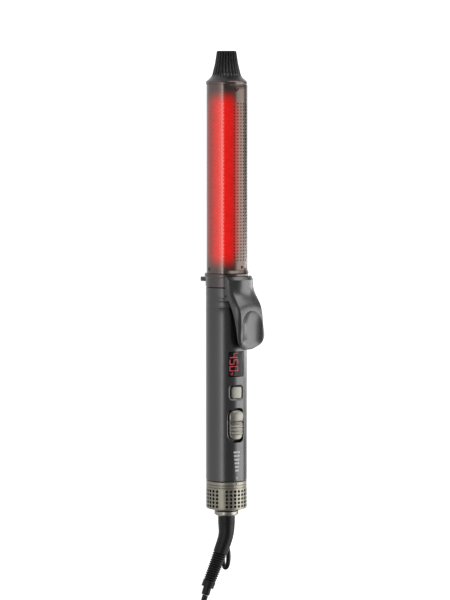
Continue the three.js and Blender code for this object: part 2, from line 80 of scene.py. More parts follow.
# The folded cord: the middle of its straight runs, their length, the inner bend's radius, the distance
# between turns, its place across the table and the height of its lowest turn.
HANK = {"middle": 165.75, "run": 92.0, "bend": 14.15, "pitch": 4.65, "y": -2.2, "floor": 3.7}

CAMERA_ANGLE = -48.0  # round the iron's axis, from the lever toward -Y
CAMERA_FAR = 2000.0
CAMERA_Z = 305.7
CAMERA_AIM_Z = 163.8
CAMERA_AIM_SIDE = -1.2
CAMERA_LENS = 101.5
PANEL_FAR = 0.9  # from the iron's axis to each soft light, in metres
CORNER_STEPS = 4  # in every rounded corner of an outline

# ---------- the iron's own axes ----------
swivel = next(j for j in frame["joints"] if j["name"] == "cord_swivel")
AXIS_Z = Vector(swivel["axis"]).normalized()
AXIS_Y = Vector((0, 1, 0))
AXIS_X = AXIS_Y.cross(AXIS_Z).normalized()
ORIGIN = Vector(swivel["pos_m"])
LOCAL = Matrix((AXIS_X, AXIS_Y, AXIS_Z)).transposed().to_4x4()
LOCAL.translation = ORIGIN
QUARTER = math.pi / 2


def place(u, v, z):
    """A point of the iron, in the row frame."""
    return LOCAL @ (Vector((u, v, z)) * MM)


def around(radius, degrees, z):
    """A point at this radius and angle round the iron's axis."""
    angle = math.radians(degrees)
    return (radius * math.cos(angle), radius * math.sin(angle), z)


def outward(radius, degrees, z):
    """Stands a drawing up on a round wall, its Z pointing away from the iron's axis."""
    return (Matrix.Rotation(math.radians(degrees), 4, "Z") @ Matrix.Translation((radius, 0, z))
            @ Matrix.Rotation(QUARTER, 4, "Y"))


# ---------- mesh helpers ----------
def linked(name, data):
    """A new object of the scene."""
    made = bpy.data.objects.new(name, data)
    bpy.context.scene.collection.objects.link(made)
    return made


def smoothed(mesh, sharp):
    """Smooth shading, except over edges that turn by more than sharp degrees."""
    mesh.polygons.foreach_set("use_smooth", [True] * len(mesh.polygons))
    mesh.set_sharp_from_angle(angle=math.radians(sharp))


def mesh_object(name, points, faces, sharp=38.0):
    """An object whose mesh holds these points, given in millimetres."""
    mesh = bpy.data.meshes.new(name)
    mesh.from_pydata([tuple(c * MM for c in p) for p in points], [], faces)
    mesh.validate()
    smoothed(mesh, sharp)
    return linked(name, mesh)


def finish_piece(piece, material, body, replaces=()):
    """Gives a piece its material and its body."""
    piece.data.materials.clear()
    piece.data.materials.append(material)
    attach(piece, body)
    if replaces:
        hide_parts(*replaces)
    return piece


def iron_piece(name, shape, material, body, replaces=(), sharp=38.0):
    """A piece drawn in the iron's own axes. shape is (points, faces)."""
    piece = mesh_object(name, *shape, sharp=sharp)
    piece.data.transform(LOCAL)
    return finish_piece(piece, material, body, replaces)


def axis_piece(name, shape, material, body, replaces):
    """A piece whose material reads the iron's own axes, so the object lies at LOCAL instead."""
    piece = mesh_object(name, *shape)
    piece.matrix_world = LOCAL
    return finish_piece(piece, material, body, replaces)


def joined(*shapes):
    """Several shapes as one."""
    points, faces = [], []
    for more_points, more_faces in shapes:
        start = len(points)
        points.extend(more_points)
        faces.extend([tuple(start + i for i in face) for face in more_faces])
    return points, faces


def moved(shape, matrix):
    """A shape with its points carried by a matrix."""
    points, faces = shape
    return [tuple(matrix @ Vector(p)) for p in points], faces


def flipped(shape):
    """The same shape with its faces turned the other way."""
    points, faces = shape
    return points, [tuple(reversed(face)) for face in faces]


def rounded(outline, closed=True):
    """An outline with its corners rounded. Each point is (a, b) or (a, b, corner radius)."""
    made = []
    count = len(outline)
    for i, corner in enumerate(outline):
        here = Vector(corner[:2])
        radius = corner[2] if len(corner) > 2 else 0
        if radius == 0 or (not closed and i in (0, count - 1)):
            made.append(tuple(here))
            continue
        back = Vector(outline[i - 1][:2]) - here
        ahead = Vector(outline[(i + 1) % count][:2]) - here
        turn = back.angle(ahead)
        reach = min(radius / math.tan(turn / 2), 0.49 * back.length, 0.49 * ahead.length)
        start = here + back.normalized() * reach
        end = here + ahead.normalized() * reach
        for step in range(CORNER_STEPS + 1):
            t = step / CORNER_STEPS
            made.append(tuple(start * (1 - t) ** 2 + here * (2 * t * (1 - t)) + end * t ** 2))
    return made


def loft(loops, ring=False):
    """Joins loops of as many points each, from first to last, and on to the first again for a ring."""
    count = len(loops[0])
    points = [p for loop in loops for p in loop]
    faces = []
    for i in range(len(loops) if ring else len(loops) - 1):
        a, b = i * count, ((i + 1) % len(loops)) * count
        for j in range(count):
            k = (j + 1) % count
            faces.append((a + j, a + k, b + k, b + j))
    if not ring:
        faces.append(tuple(reversed(range(count))))
        faces.append(tuple(range(len(points) - count, len(points))))
    return points, faces


def lathe(outline, segments=128):
    """Turns an outline of (radius, z, corner radius) points about Z. It may start and end on the axis."""
    profile = rounded(outline, closed=outline[0][0] > 0)
    points, faces, rings = [], [], []
    for radius, z in profile:
        if radius < 1e-6:
            rings.append([len(points)] * segments)
            points.append((0, 0, z))
        else:
            rings.append(list(range(len(points), len(points) + segments)))
            points.extend(around(radius, 360 * i / segments, z) for i in range(segments))
    last = len(rings) if profile[0][0] > 1e-6 else len(rings) - 1
    for i in range(last):
        a, b = rings[i], rings[(i + 1) % len(rings)]
        for j in range(segments):
            k = (j + 1) % segments
            corners = list(dict.fromkeys((a[j], a[k], b[k], b[j])))
            if len(corners) > 2:
                faces.append(tuple(reversed(corners)))
    return points, faces


def tube_along(line, radius_at, sides, up=(0, 0, 1)):
    """A tube round a line of points. radius_at(i) gives its radius at point i."""
    line = [Vector(p) for p in line]
    loops = []
    normal = Vector(up)
    for i, here in enumerate(line):
        ahead = line[min(i + 1, len(line) - 1)] - line[max(i - 1, 0)]
        ahead.normalize()
        normal = (normal - ahead * normal.dot(ahead)).normalized()
        side = ahead.cross(normal)
        loop = []
        for j in range(sides):
            angle = 2 * math.pi * j / sides
            loop.append(tuple(here + (normal * math.cos(angle) + side * math.sin(angle)) * radius_at(i)))
        loops.append(loop)
    return loft(loops)


def spline(points, step):
    """A smooth line through these points, with a point about every step."""
    known = [Vector(p) for p in points]
    known = [known[0] * 2 - known[1]] + known + [known[-1] * 2 - known[-2]]
    made = []
    for i in range(1, len(known) - 2):
        a, b, c, d = known[i - 1:i + 3]
        count = max(2, round((c - b).length / step))
        for j in range(count):
            t = j / count
            made.append(0.5 * (2 * b + (c - a) * t + (2 * a - 5 * b + 4 * c - d) * t ** 2
                               + (3 * b - a - 3 * c + d) * t ** 3))
    made.append(known[-2])
    return made


def curve_through(places, values):
    """A smooth function through values at rising places."""
    places, values = np.array(places, float), np.array(values, float)
    slopes = np.gradient(values, places)

    def at(x):
        x = min(max(x, places[0]), places[-1])
        i = min(int(np.searchsorted(places, x, side="right")) - 1, len(places) - 2)
        width = places[i + 1] - places[i]
        t = (x - places[i]) / width
        start, end = values[i], values[i + 1]
        return ((2 * t ** 3 - 3 * t ** 2 + 1) * start + (t ** 3 - 2 * t ** 2 + t) * width * slopes[i]
                + (3 * t ** 2 - 2 * t ** 3) * end + (t ** 3 - t ** 2) * width * slopes[i + 1])
    return at


def smooth(edge0, edge1, x):
    """0 at edge0, 1 at edge1, and an even S between them."""
    t = min(max((x - edge0) / (edge1 - edge0), 0.0), 1.0)
    return t * t * (3 - 2 * t)


def rounded_box_distance(x, y, width, height, radius):
    """How far (x, y) lies outside a rounded rectangle; negative inside it."""
    dx = abs(x) - (width / 2 - radius)
    dy = abs(y) - (height / 2 - radius)
    outside = math.hypot(max(dx, 0), max(dy, 0))
    return outside + min(max(dx, dy), 0) - radius


def rounded_rectangle(width, height, radius, steps=6):
    """The outline of a rounded rectangle, counter-clockwise."""
    made = []
    for sx, sy, start in ((1, 1, 0), (-1, 1, 90), (-1, -1, 180), (1, -1, 270)):
        for step in range(steps + 1):
            angle = math.radians(start + 90 * step / steps)
            made.append((sx * (width / 2 - radius) + radius * math.cos(angle),
                         sy * (height / 2 - radius) + radius * math.sin(angle)))
    return made


def perforated(columns, rows, sub, hole_radius, is_hole, ring):
    """A thin wall round the axis with real round holes.

    columns are the cells' edge angles in degrees. rows are (z, outer radius, inner radius) at the
    cells' edges. Each cell has sub steps a side, and is_hole(column, row) says which cells have a hole.
    """
    across = (len(columns) - 1) * sub
    along = (len(rows) - 1) * sub
    width = across if ring else across + 1
    faces = []

    def between(values, i):
        cell = min(i // sub, len(values) - 2)
        t = i / sub - cell
        return np.array(values[cell]) * (1 - t) + np.array(values[cell + 1]) * t

    def lattice(side, i, j):
        return (side * (along + 1) + j) * width + (i % width if ring else i)

    def rim(start, end):
        """Joins the outer wall to the inner one between two points of the lattice."""
        faces.append((lattice(0, *end), lattice(0, *start), lattice(1, *start), lattice(1, *end)))

    levels = [between(rows, j) for j in range(along + 1)]
    angles = [float(between(columns, i)) for i in range(width)]
    points = [around(level[side], angle, level[0]) for side in (1, 2) for level in levels for angle in angles]
    steps = range(sub)
    for column in range(len(columns) - 1):
        for row in range(len(rows) - 1):
            i0, j0 = column * sub, row * sub
            if not is_hole(column, row):
                for i in range(i0, i0 + sub):
                    for j in range(j0, j0 + sub):
                        cell = [(i, j), (i + 1, j), (i + 1, j + 1), (i, j + 1)]
                        faces.append(tuple(lattice(0, *corner) for corner in cell))
                        faces.append(tuple(lattice(1, *corner) for corner in reversed(cell)))
                continue
            border = [(i0 + k, j0) for k in steps] + [(i0 + sub, j0 + k) for k in steps]
            border += [(i0 + sub - k, j0 + sub) for k in steps] + [(i0, j0 + sub - k) for k in steps]
            angle = (columns[column] + columns[column + 1]) / 2
            z, outer, inner = (np.array(rows[row]) + np.array(rows[row + 1])) / 2
            start = len(points)
            deep = start + 4 * sub
            for radius in (outer, inner):
                for k in range(4 * sub):
                    t = math.radians(-135 + 90 * k / sub)
                    turn = math.degrees(hole_radius * math.cos(t) / outer)
                    points.append(around(radius, angle + turn, z + hole_radius * math.sin(t)))
            for k in range(4 * sub):
                n = (k + 1) % (4 * sub)
                faces.append((lattice(0, *border[k]), lattice(0, *border[n]), start + n, start + k))
                faces.append((lattice(1, *border[n]), lattice(1, *border[k]), deep + k, deep + n))
                faces.append((start + k, start + n, deep + n, deep + k))
    for i in range(across):
        rim((i, 0), (i + 1, 0))
        rim((i + 1, along), (i, along))
    for j in range(0 if ring else along):
        rim((0, j + 1), (0, j))
        rim((across, j), (across, j + 1))
    used = sorted({i for face in faces for i in face})
    new = {old: i for i, old in enumerate(used)}
    return [points[i] for i in used], [tuple(new[i] for i in face) for face in faces]


def cut_with(piece, cutters):
    """Takes the cutters away from a piece, with an exact boolean."""
    for cutter in cutters:
        modifier = piece.modifiers.new("cut", "BOOLEAN")
        modifier.operation = "DIFFERENCE"
        modifier.solver = "EXACT"
        modifier.object = cutter
    evaluated = piece.evaluated_get(bpy.context.evaluated_depsgraph_get())
    mesh = bpy.data.meshes.new_from_object(evaluated)
    piece.modifiers.clear()
    piece.data = mesh
    for cutter in cutters:
        bpy.data.objects.remove(cutter)
    smoothed(mesh, 32)


def prism(outline, bottom, top):
    """Extrudes an (x, y) outline from z = bottom to z = top."""
    return loft([[(x, y, bottom) for x, y in outline], [(x, y, top) for x, y in outline]])


# Turns a drawing whose x runs round the handle, y along it and z outward, so that it lies on the panel.
ON_PANEL = Matrix.Rotation(math.radians(PANEL_ANGLE), 4, "Z") @ Matrix(
    ((0, 0, 1, 0), (1, 0, 0, 0), (0, 1, 0, 0), (0, 0, 0, 1)))


# ---------- materials ----------
class Shader:
    """A node material round one Principled BSDF. Plain numbers sit on the shader's own sockets."""

    def __init__(self, name, **constants):
        self.material = bpy.data.materials.new(name)
        self.material.use_nodes = True
        self.tree = self.material.node_tree
        self.bsdf = self.tree.nodes["Principled BSDF"]
        for socket, value in constants.items():
            self.bsdf.inputs[socket.replace("_", " ")].default_value = value
        self.coordinates = self.tree.nodes.new("ShaderNodeTexCoord").outputs["Object"]

    def node(self, kind, inputs=(), **settings):
        """A new node. Its inputs are other nodes' outputs or plain values."""
        made = self.tree.nodes.new("ShaderNode" + kind)
        for key, value in settings.items():
            setattr(made, key, value)
        for key, value in dict(inputs).items():
            if isinstance(value, bpy.types.NodeSocket):
                self.tree.links.new(value, made.inputs[key])
            else:
                made.inputs[key].default_value = value
        return made

    def feed(self, socket, output):
        self.tree.links.new(output, self.bsdf.inputs[socket])

    def math(self, operation, a, b=0.0):
        return self.node("Math", {0: a, 1: b}, operation=operation).outputs[0]

    def noise(self, size_mm, stretch=(1, 1, 1), detail=3.0):
        """Noise whose features are about size_mm across."""
        vector = self.node("Mapping", {"Vector": self.coordinates, "Scale": stretch}).outputs[0]
        settings = {"Vector": vector, "Scale": 1 / (size_mm * MM), "Detail": detail}
        return self.node("TexNoise", settings).outputs["Fac"]

    def ramp(self, value, low, high, out_low, out_high, curve="LINEAR"):
        """Carries low..high to out_low..out_high, and holds there."""
        return self.node("MapRange", {"Value": value, "From Min": low, "From Max": high,
                                      "To Min": out_low, "To Max": out_high},
                         interpolation_type=curve).outputs["Result"]

    def colour_between(self, factor, first, second):
        ramp = self.node("ValToRGB", {"Fac": factor})
        ramp.color_ramp.elements[0].color = (*first, 1)
        ramp.color_ramp.elements[1].color = (*second, 1)
        return ramp.outputs["Color"]

    def shades(self, factor, colour, dark, light):
        """From a darker to a lighter share of one colour."""
        return self.colour_between(factor, *([c * share for c in colour] for share in (dark, light)))

    def clouded(self, fine, cloud_mm):
        """A fine pattern mixed with slow clouds."""
        cloud = self.noise(cloud_mm, detail=2.0)
        return self.math("ADD", self.ramp(fine, 0.3, 0.7, 0.0, 0.6), self.ramp(cloud, 0.3, 0.7, 0.0, 0.4))

    def bump(self, height, strength, distance_mm):
        made = self.node("Bump", {"Height": height, "Strength": strength, "Distance": distance_mm * MM})
        self.feed("Normal", made.outputs["Normal"])

    def texture(self, pattern, low, high, smoothest, roughest, strength, distance_mm):
        """Roughness and relief that follow one pattern."""
        self.feed("Roughness", self.ramp(pattern, low, high, smoothest, roughest))
        self.bump(pattern, strength, distance_mm)


def satin_paint(name, colour, metallic, roughness, grain_mm=0.35):
    """Metallic paint: fine flake, slow clouds and a light orange peel."""
    shader = Shader(name, Metallic=metallic, Coat_Weight=0.06, Coat_Roughness=0.25)
    flake = shader.noise(grain_mm, detail=2.0)
    shader.feed("Base Color", shader.shades(shader.clouded(flake, 38.0), colour, 0.9, 1.1))
    shader.texture(flake, 0.2, 0.8, roughness - 0.03, roughness + 0.04, 0.06, 0.05)
    return shader.material


def moulded_plastic(name, colour, roughness, grain_mm=0.5, shine=0.4):
    """Fine spark-eroded texture of moulded plastic or rubber."""
    shader = Shader(name, Specular_IOR_Level=shine)
    shader.feed("Base Color", shader.shades(shader.noise(25.0, detail=2.0), colour, 0.8, 1.25))
    shader.texture(shader.noise(grain_mm), 0.25, 0.75, roughness - 0.06, roughness + 0.08, 0.12, 0.08)
    return shader.material


def brushed_metal(name, colour, roughness, stretch=(1, 1, 30)):
    """Metal with fine drawn lines across the stretched axis."""
    shader = Shader(name, Metallic=1.0)
    lines = shader.noise(4.0, stretch)
    shader.feed("Base Color", shader.shades(shader.clouded(lines, 20.0), colour, 0.86, 1.12))
    shader.texture(lines, 0.25, 0.75, roughness - 0.05, roughness + 0.07, 0.05, 0.04)
    return shader.material


# Painted glow: the barrel's and the clamp plate's metal coating emits red, though it is no lamp, in place of
# the light of the lamps behind.
PAINTED_GLOW_STRENGTH = 0.74
# The share of that painted glow's strength at angles round the barrel, in degrees from the lever.
FRONT_PAINTED_GLOW = [(-140, 0.0), (-128, 0.13), (-110, 0.26), (-99, 0.36), (-90, 0.56), (-77, 0.84), (-58, 1.0),
              (-42, 0.97), (-30, 0.72), (-20, 0.46), (-8, 0.12), (4, 0.0)]
REAR_PAINTED_GLOW = [(46, 0.0), (58, 0.5), (78, 0.9), (98, 0.5), (110, 0.0)]


def painted_glow_mask(shader, angle, z, stops):
    """Mask of the painted glow: 1 over the middle of a lit window, fading round the iron by the stops and at
    both its ends.
    """
    low, high = stops[0][0], stops[-1][0]
    share = shader.ramp(angle, math.radians(low), math.radians(high), 0, 1)
    ramp = shader.node("ValToRGB", {"Fac": share})
    elements = ramp.color_ramp.elements
    for degrees, value in stops[1:-1]:
        elements.new((degrees - low) / (high - low)).color = (value, value, value, 1)
    elements[-1].color = (0, 0, 0, 1)
    spread = math.radians(high - low)
    off = shader.math("ABSOLUTE", shader.math("SUBTRACT", angle, math.radians((low + high) / 2)))
    corner = shader.ramp(off, 0.25 * spread, 0.4 * spread, 0, 8 * MM)
    z_middle, z_half = sum(WINDOW_Z) / 2 * MM, (WINDOW_Z[1] - WINDOW_Z[0]) / 2 * MM
    along = shader.math("ABSOLUTE", shader.math("SUBTRACT", z, z_middle))
    past = shader.math("ADD", along, corner)
    end_fade = shader.ramp(past, z_half - 9 * MM, z_half + 5 * MM, 1, 0, "SMOOTHSTEP")
    return shader.math("MULTIPLY", ramp.outputs["Color"], end_fade)


def painted_glow_coating(name, colour, roughness, windows, shade_lit, shade_front=1.0):
    """Warm grey coated metal, finely turned, with a painted red glow over its lit windows: emission on the
    metal itself, standing in for the light of the lamps behind it.

    shade_lit darkens the metal under the painted glow, and shade_front paints shade on the barrel where the
    clamp plate covers it.
    """
    shader = Shader(name, Metallic=1.0, Emission_Color=(1.0, 0.008, 0.006, 1))
    axes = shader.node("SeparateXYZ", {0: shader.coordinates})
    angle = shader.math("ARCTAN2", axes.outputs["Y"], axes.outputs["X"])
    glow = 0.0
    for stops in windows:
        glow = shader.math("ADD", painted_glow_mask(shader, angle, axes.outputs["Z"], stops), glow)
    lines = shader.noise(6.0, (1, 1, 20))
    off_lever = shader.math("ABSOLUTE", angle)
    # Painted shade: the front share darkens the barrel's metal where the clamp plate covers it.
    painted_shade_under_plate = shader.ramp(off_lever, math.radians(PLATE_HALF_ANGLE - 4), math.radians(PLATE_HALF_ANGLE),
                          shade_front, 1.0)
    shade = shader.math("MULTIPLY", shader.ramp(glow, 0, 1, 1.0, shade_lit), painted_shade_under_plate)
    metal = shader.node("VectorMath", {0: shader.shades(lines, colour, 0.88, 1.12), "Scale": shade},
                        operation="SCALE")
    shader.feed("Base Color", metal.outputs[0])
    shader.texture(lines, 0.25, 0.75, roughness - 0.04, roughness + 0.06, 0.05, 0.04)
    # Painted glow: emission on the coating over the windows, a little uneven.
    flicker = shader.ramp(shader.noise(3.2, detail=2.0), 0.3, 0.7, 0.9 * PAINTED_GLOW_STRENGTH, 1.1 * PAINTED_GLOW_STRENGTH)
    shader.feed("Emission Strength", shader.math("MULTIPLY", glow, flicker))
    return shader.material


def tip_plastic(name, colour, skirt_colour):
    """Black moulded plastic, coated like the barrel on the skirt below the flare."""
    skirt_z = 336.1
    shader = Shader(name, Specular_IOR_Level=0.28)
    grain = shader.noise(0.5)
    height = shader.node("SeparateXYZ", {0: shader.coordinates}).outputs["Z"]
    above = shader.ramp(height, skirt_z * MM, (skirt_z + 0.5) * MM, 0, 1)
    shader.feed("Metallic", shader.ramp(above, 0, 1, 1, 0))
    shader.feed("Base Color", shader.colour_between(above, skirt_colour, colour))
    shader.texture(grain, 0.25, 0.75, 0.22, 0.34, 0.12, 0.06)
    return shader.material


def lamp_red(name, strength, glow):
    """Red plastic that is lit from behind."""
    shader = Shader(name, Roughness=0.4, Specular_IOR_Level=0.2, Emission_Color=glow)
    spots = shader.noise(5.0, detail=1.0)
    shader.feed("Base Color", shader.colour_between(spots, (0.12, 0.004, 0.003), (0.2, 0.008, 0.005)))
    shader.feed("Emission Strength", shader.ramp(spots, 0.3, 0.7, 0.75 * strength, 1.25 * strength))
    return shader.material


def woven_strap(name, colour):
    """The ribbed weave of a narrow strap."""
    shader = Shader(name, Roughness=0.85, Sheen_Weight=0.3)
    wave = shader.node("TexWave", {"Vector": shader.coordinates, "Scale": 700.0, "Distortion": 0.6})
    shader.feed("Base Color", shader.shades(wave.outputs["Fac"], colour, 0.6, 1.5))
    shader.bump(wave.outputs["Fac"], 0.5, 0.12)
    return shader.material


def circuit(name):
    """Dark solder mask, crossed by thin copper lines."""
    shader = Shader(name, Roughness=0.45)
    cells = shader.node("TexVoronoi", {"Vector": shader.coordinates, "Scale": 260.0},
                        feature="DISTANCE_TO_EDGE")
    edge = shader.ramp(cells.outputs["Distance"], 0.02, 0.05, 0.0, 1.0)
    shader.feed("Base Color", shader.colour_between(edge, (0.2, 0.15, 0.05), (0.01, 0.03, 0.018)))
    return shader.material


def lens_black(name):
    """A glossy smoked window with a faint haze."""
    shader = Shader(name, Roughness=0.08, Specular_IOR_Level=0.13)
    haze = shader.noise(4.0)
    shader.feed("Base Color", shader.colour_between(haze, (0.004, 0.004, 0.005), (0.008, 0.007, 0.009)))
    return shader.material


GUNMETAL = satin_paint("gunmetal_paint", (0.053, 0.052, 0.053), 1.0, 0.29)
LEVER_PAINT = satin_paint("lever_paint", (0.053, 0.053, 0.054), 1.0, 0.32)
TAUPE = satin_paint("taupe_paint", (0.058, 0.05, 0.05), 1.0, 0.3)
CHAMPAGNE = satin_paint("champagne_paint", (0.15, 0.143, 0.118), 1.0, 0.4, 0.5)
CHAMPAGNE_PLASTIC = satin_paint("champagne_plastic", (0.125, 0.12, 0.105), 1.0, 0.38, 0.4)
COLLAR_SILVER = brushed_metal("collar_silver", (0.18, 0.173, 0.16), 0.32, (30, 1, 1))
# These coatings carry the painted glow; the barrel's also carries painted shade under the clamp plate.
BARREL_COATING_PAINTED_LIGHT = painted_glow_coating("barrel_coating_painted_light", (0.084, 0.067, 0.061), 0.2, [FRONT_PAINTED_GLOW, REAR_PAINTED_GLOW], 0.75, 0.35)
PLATE_COATING_PAINTED_GLOW = painted_glow_coating("plate_coating_painted_glow", (0.065, 0.05, 0.043), 0.27, [FRONT_PAINTED_GLOW], 0.3)
TIP_PLASTIC = tip_plastic("tip_plastic", (0.006, 0.006, 0.0065), (0.08, 0.06, 0.058))
BLACK_PLASTIC = moulded_plastic("black_plastic", (0.008, 0.008, 0.0085), 0.42, shine=0.3)
RUBBER = moulded_plastic("boot_rubber", (0.004, 0.004, 0.0042), 0.4, shine=0.14)
CORD_SKIN = moulded_plastic("cord_jacket", (0.005, 0.005, 0.0052), 0.45, 0.8, shine=0.14)
INNER_PLASTIC = moulded_plastic("inner_plastic", (0.03, 0.03, 0.033), 0.6)
STEEL = brushed_metal("drawn_steel", (0.5, 0.5, 0.51), 0.28)
DARK_STEEL = brushed_metal("dark_steel", (0.03, 0.027, 0.026), 0.35)
ALUMINIUM = brushed_metal("mill_aluminium", (0.6, 0.6, 0.62), 0.38)
COPPER = brushed_metal("ring_copper", (0.7, 0.36, 0.18), 0.3)
BRASS = brushed_metal("blade_brass", (0.62, 0.55, 0.4), 0.25)
CERAMIC = moulded_plastic("fired_ceramic", (0.7, 0.66, 0.56), 0.7, 0.4)
CIRCUIT = circuit("solder_mask")
LENS = lens_black("lens_black")
LAMP_RED = lamp_red("lamp_red", 1.5, (1.0, 0.15, 0.1, 1))
DIGIT_RED = lamp_red("digit_red", 0.36, (1.0, 0.14, 0.17, 1))
RIVET_RED = satin_paint("rivet_red", (0.03, 0.004, 0.003), 0.6, 0.3)
PRINT = moulded_plastic("pad_print", (0.62, 0.62, 0.62), 0.5)
STRAP = woven_strap("woven_strap", (0.03, 0.03, 0.032))


# ---------- stage, lights and camera ----------
def make_floor():
    """A wide pale table top that glows a little, so that it carries no shadow."""
    half = 4.0
    mesh = bpy.data.meshes.new("floor")
    mesh.from_pydata([(-half, -half, 0), (half, -half, 0), (half, half, 0), (-half, half, 0)], [],
                     [(0, 1, 2, 3)])
    floor = linked("floor", mesh)
    floor.location.z = -0.3 * MM
    shader = Shader("pale_floor", Roughness=0.8, Specular_IOR_Level=0.1, Emission_Color=(1, 1, 1, 1),
                    Emission_Strength=0.93)
    shader.feed("Base Color", shader.shades(shader.noise(400.0), (1, 1, 1), 0.93, 0.95))
    mesh.materials.append(shader.material)


def toward(angle):
    """A direction across the iron's axis, this many degrees round it from the camera's side, upward."""
    round_axis = math.radians(CAMERA_ANGLE + angle)
    return AXIS_X * math.cos(round_axis) + AXIS_Y * math.sin(round_axis)


def area_light(name, length, width, radiance):
    """A rectangular light, its sides in metres."""
    light = bpy.data.lights.new(name, "AREA")
    light.shape = "RECTANGLE"
    light.size, light.size_y = length, width
    light.energy = radiance * math.pi * length * width
    return linked(name, light)


def soft_panel(name, middle, spread, radiance, z_from=-550, z_to=420):
    """A long soft light beside the iron, seen only in reflections.

    It spans spread degrees round the iron, and reaches from z_from to z_to along it.
    """
    width = 2 * PANEL_FAR * math.tan(math.radians(spread / 2))
    panel = area_light(name, (z_to - z_from) * MM, width, radiance)
    direction = toward(middle)
    side = AXIS_Z.cross(direction).normalized()
    centre = place(0, 0, (z_from + z_to) / 2) + direction * PANEL_FAR
    turn = Matrix((AXIS_Z, -side, direction)).transposed().to_4x4()
    panel.matrix_world = Matrix.Translation(centre) @ turn
    panel.visible_diffuse = False


def make_lights():
    """Soft panels for the highlights, a weak light on the table and a grey world."""
    soft_panel("overhead_softbox", 82.5, 55, 5.0, z_to=400)
    soft_panel("overhead_far", 82.5, 55, 4.2, 640, 950)
    soft_panel("front_strip", -33, 22, 1.7)
    soft_panel("front_strip_edge", -24, 9, 4.2)
    soft_panel("head_panel", 50, 62, 5.0, 900, 1900)
    soft_panel("dish_kicker", 129, 34, 7.0, 30, 160)
    ceiling = area_light("ceiling_fill", 5.0, 4.0, 0.12)
    ceiling.location = (0, -0.8, 1.5)
    ceiling.visible_glossy = False
    world = bpy.data.worlds.new("studio")
    bpy.context.scene.world = world
    world.use_nodes = True
    background = world.node_tree.nodes["Background"].inputs
    background["Color"].default_value = (1, 1, 1, 1)
    background["Strength"].default_value = 0.44


def make_camera():
    """Looks at the side with the controls, from abreast of the barrel."""
    data = bpy.data.cameras.new("camera")
    camera = linked("camera", data)
    data.sensor_width = 24.0
    data.lens = CAMERA_LENS
    eye = place(0, 0, CAMERA_Z) + toward(0) * CAMERA_FAR * MM
    aim = place(0, 0, CAMERA_AIM_Z) + toward(90) * CAMERA_AIM_SIDE * MM
    back = (eye - aim).normalized()
    right = AXIS_Z.cross(back).normalized()
    up = back.cross(right)
    camera.matrix_world = Matrix.Translation(eye) @ Matrix((right, up, back)).transposed().to_4x4()
    data.clip_start, data.clip_end = 0.05, 20.0
    bpy.context.scene.camera = camera
    bpy.context.scene.view_settings.view_transform = "Standard"


# ---------- cord, hank, tie and plug ----------
CAP_SHOULDER_X = ORIGIN.x / MM


def lead_point(x, y, z):
    """A point measured from the vent cap's shoulder, in row millimetres."""
    return (CAP_SHOULDER_X + x, y, z)


def hank_point(x, y, z):
    """A point measured from the middle of the hank."""
    return lead_point(HANK["middle"] + x, HANK["y"] + y, z)


# Lane and layer of each of the hank's turns, from the bottom outside to the top outside.
TURNS = [(1, 0), (0, 0), (0, 1), (1, 1), (1, 2), (0, 2), (0, 3), (1, 3)]
LEAD_IN = [(70.9, -14.28, 3.7), (75, -15.4, 3.05), (81, -17, 2.55), (88, -18.6, 2.5), (94, -19.8, 2.9),
           (100, -20.65, 3.5), (108, -20.65, 3.7)]
LEAD_OUT = [(232.8, -20.05, 17.65), (242.25, -18.3, 16.6), (251.7, -11.1, 12.4), (261.15, -4.0, 8.2),
            (270.6, -2.2, 7.1)]


def hank_line():
    """The hank's middle line. It changes lane and layer a little earlier on each turn.

    progress is how far a point lies along the way back of its turn, where the change takes place.
    """
    half, bend, pitch = HANK["run"] / 2, HANK["bend"], HANK["pitch"]
    lanes = [lane for lane, _ in TURNS]
    layers = [layer for _, layer in TURNS]
    change_start, change_step, change_length = 76.0, 14.0, 42.0
    steps, arc_steps, arc_run, before = 18, 12, math.pi * 16, -100
    line = []

    def add(x, y_sign, spin, progress, turn):
        begin = change_start - change_step * turn
        state = turn + smooth(begin, begin + change_length, progress)
        lane = np.interp(state, range(len(TURNS)), lanes)
        layer = np.interp(state, range(len(TURNS)), layers)
        radius = bend + pitch * lane
        if spin is None:
            pinch = 0.5 + 0.5 * math.cos(math.pi * x / half)
            y = y_sign * (radius + (pitch * (lane + 0.5) - radius) * pinch)
        else:
            x = x + radius * math.cos(spin)
            y = radius * math.sin(spin)
        line.append(hank_point(x, y, HANK["floor"] + pitch * layer))

    for turn in range(len(TURNS)):
        for i in range(steps):
            add(-half + 2 * half * i / steps, -1, None, before, turn)
        if turn == len(TURNS) - 1:
            break
        for i in range(arc_steps):
            add(half, 0, math.pi * (i / arc_steps - 0.5), arc_run * (i / arc_steps - 1), turn)
        for i in range(steps):
            add(half - 2 * half * i / steps, 1, None, 2 * half * i / steps, turn)
        for i in range(arc_steps):
            add(-half, 0, math.pi * (0.5 + i / arc_steps), 2 * half + arc_run * i / arc_steps, turn)
    add(half, -1, None, before, len(TURNS) - 1)
    return line


def cord_line():
    """The cord's middle line, from the relief to the plug."""
    points = [lead_point(*p) for p in LEAD_IN] + hank_line() + [lead_point(*p) for p in LEAD_OUT]
    return spline(points, 2.3)


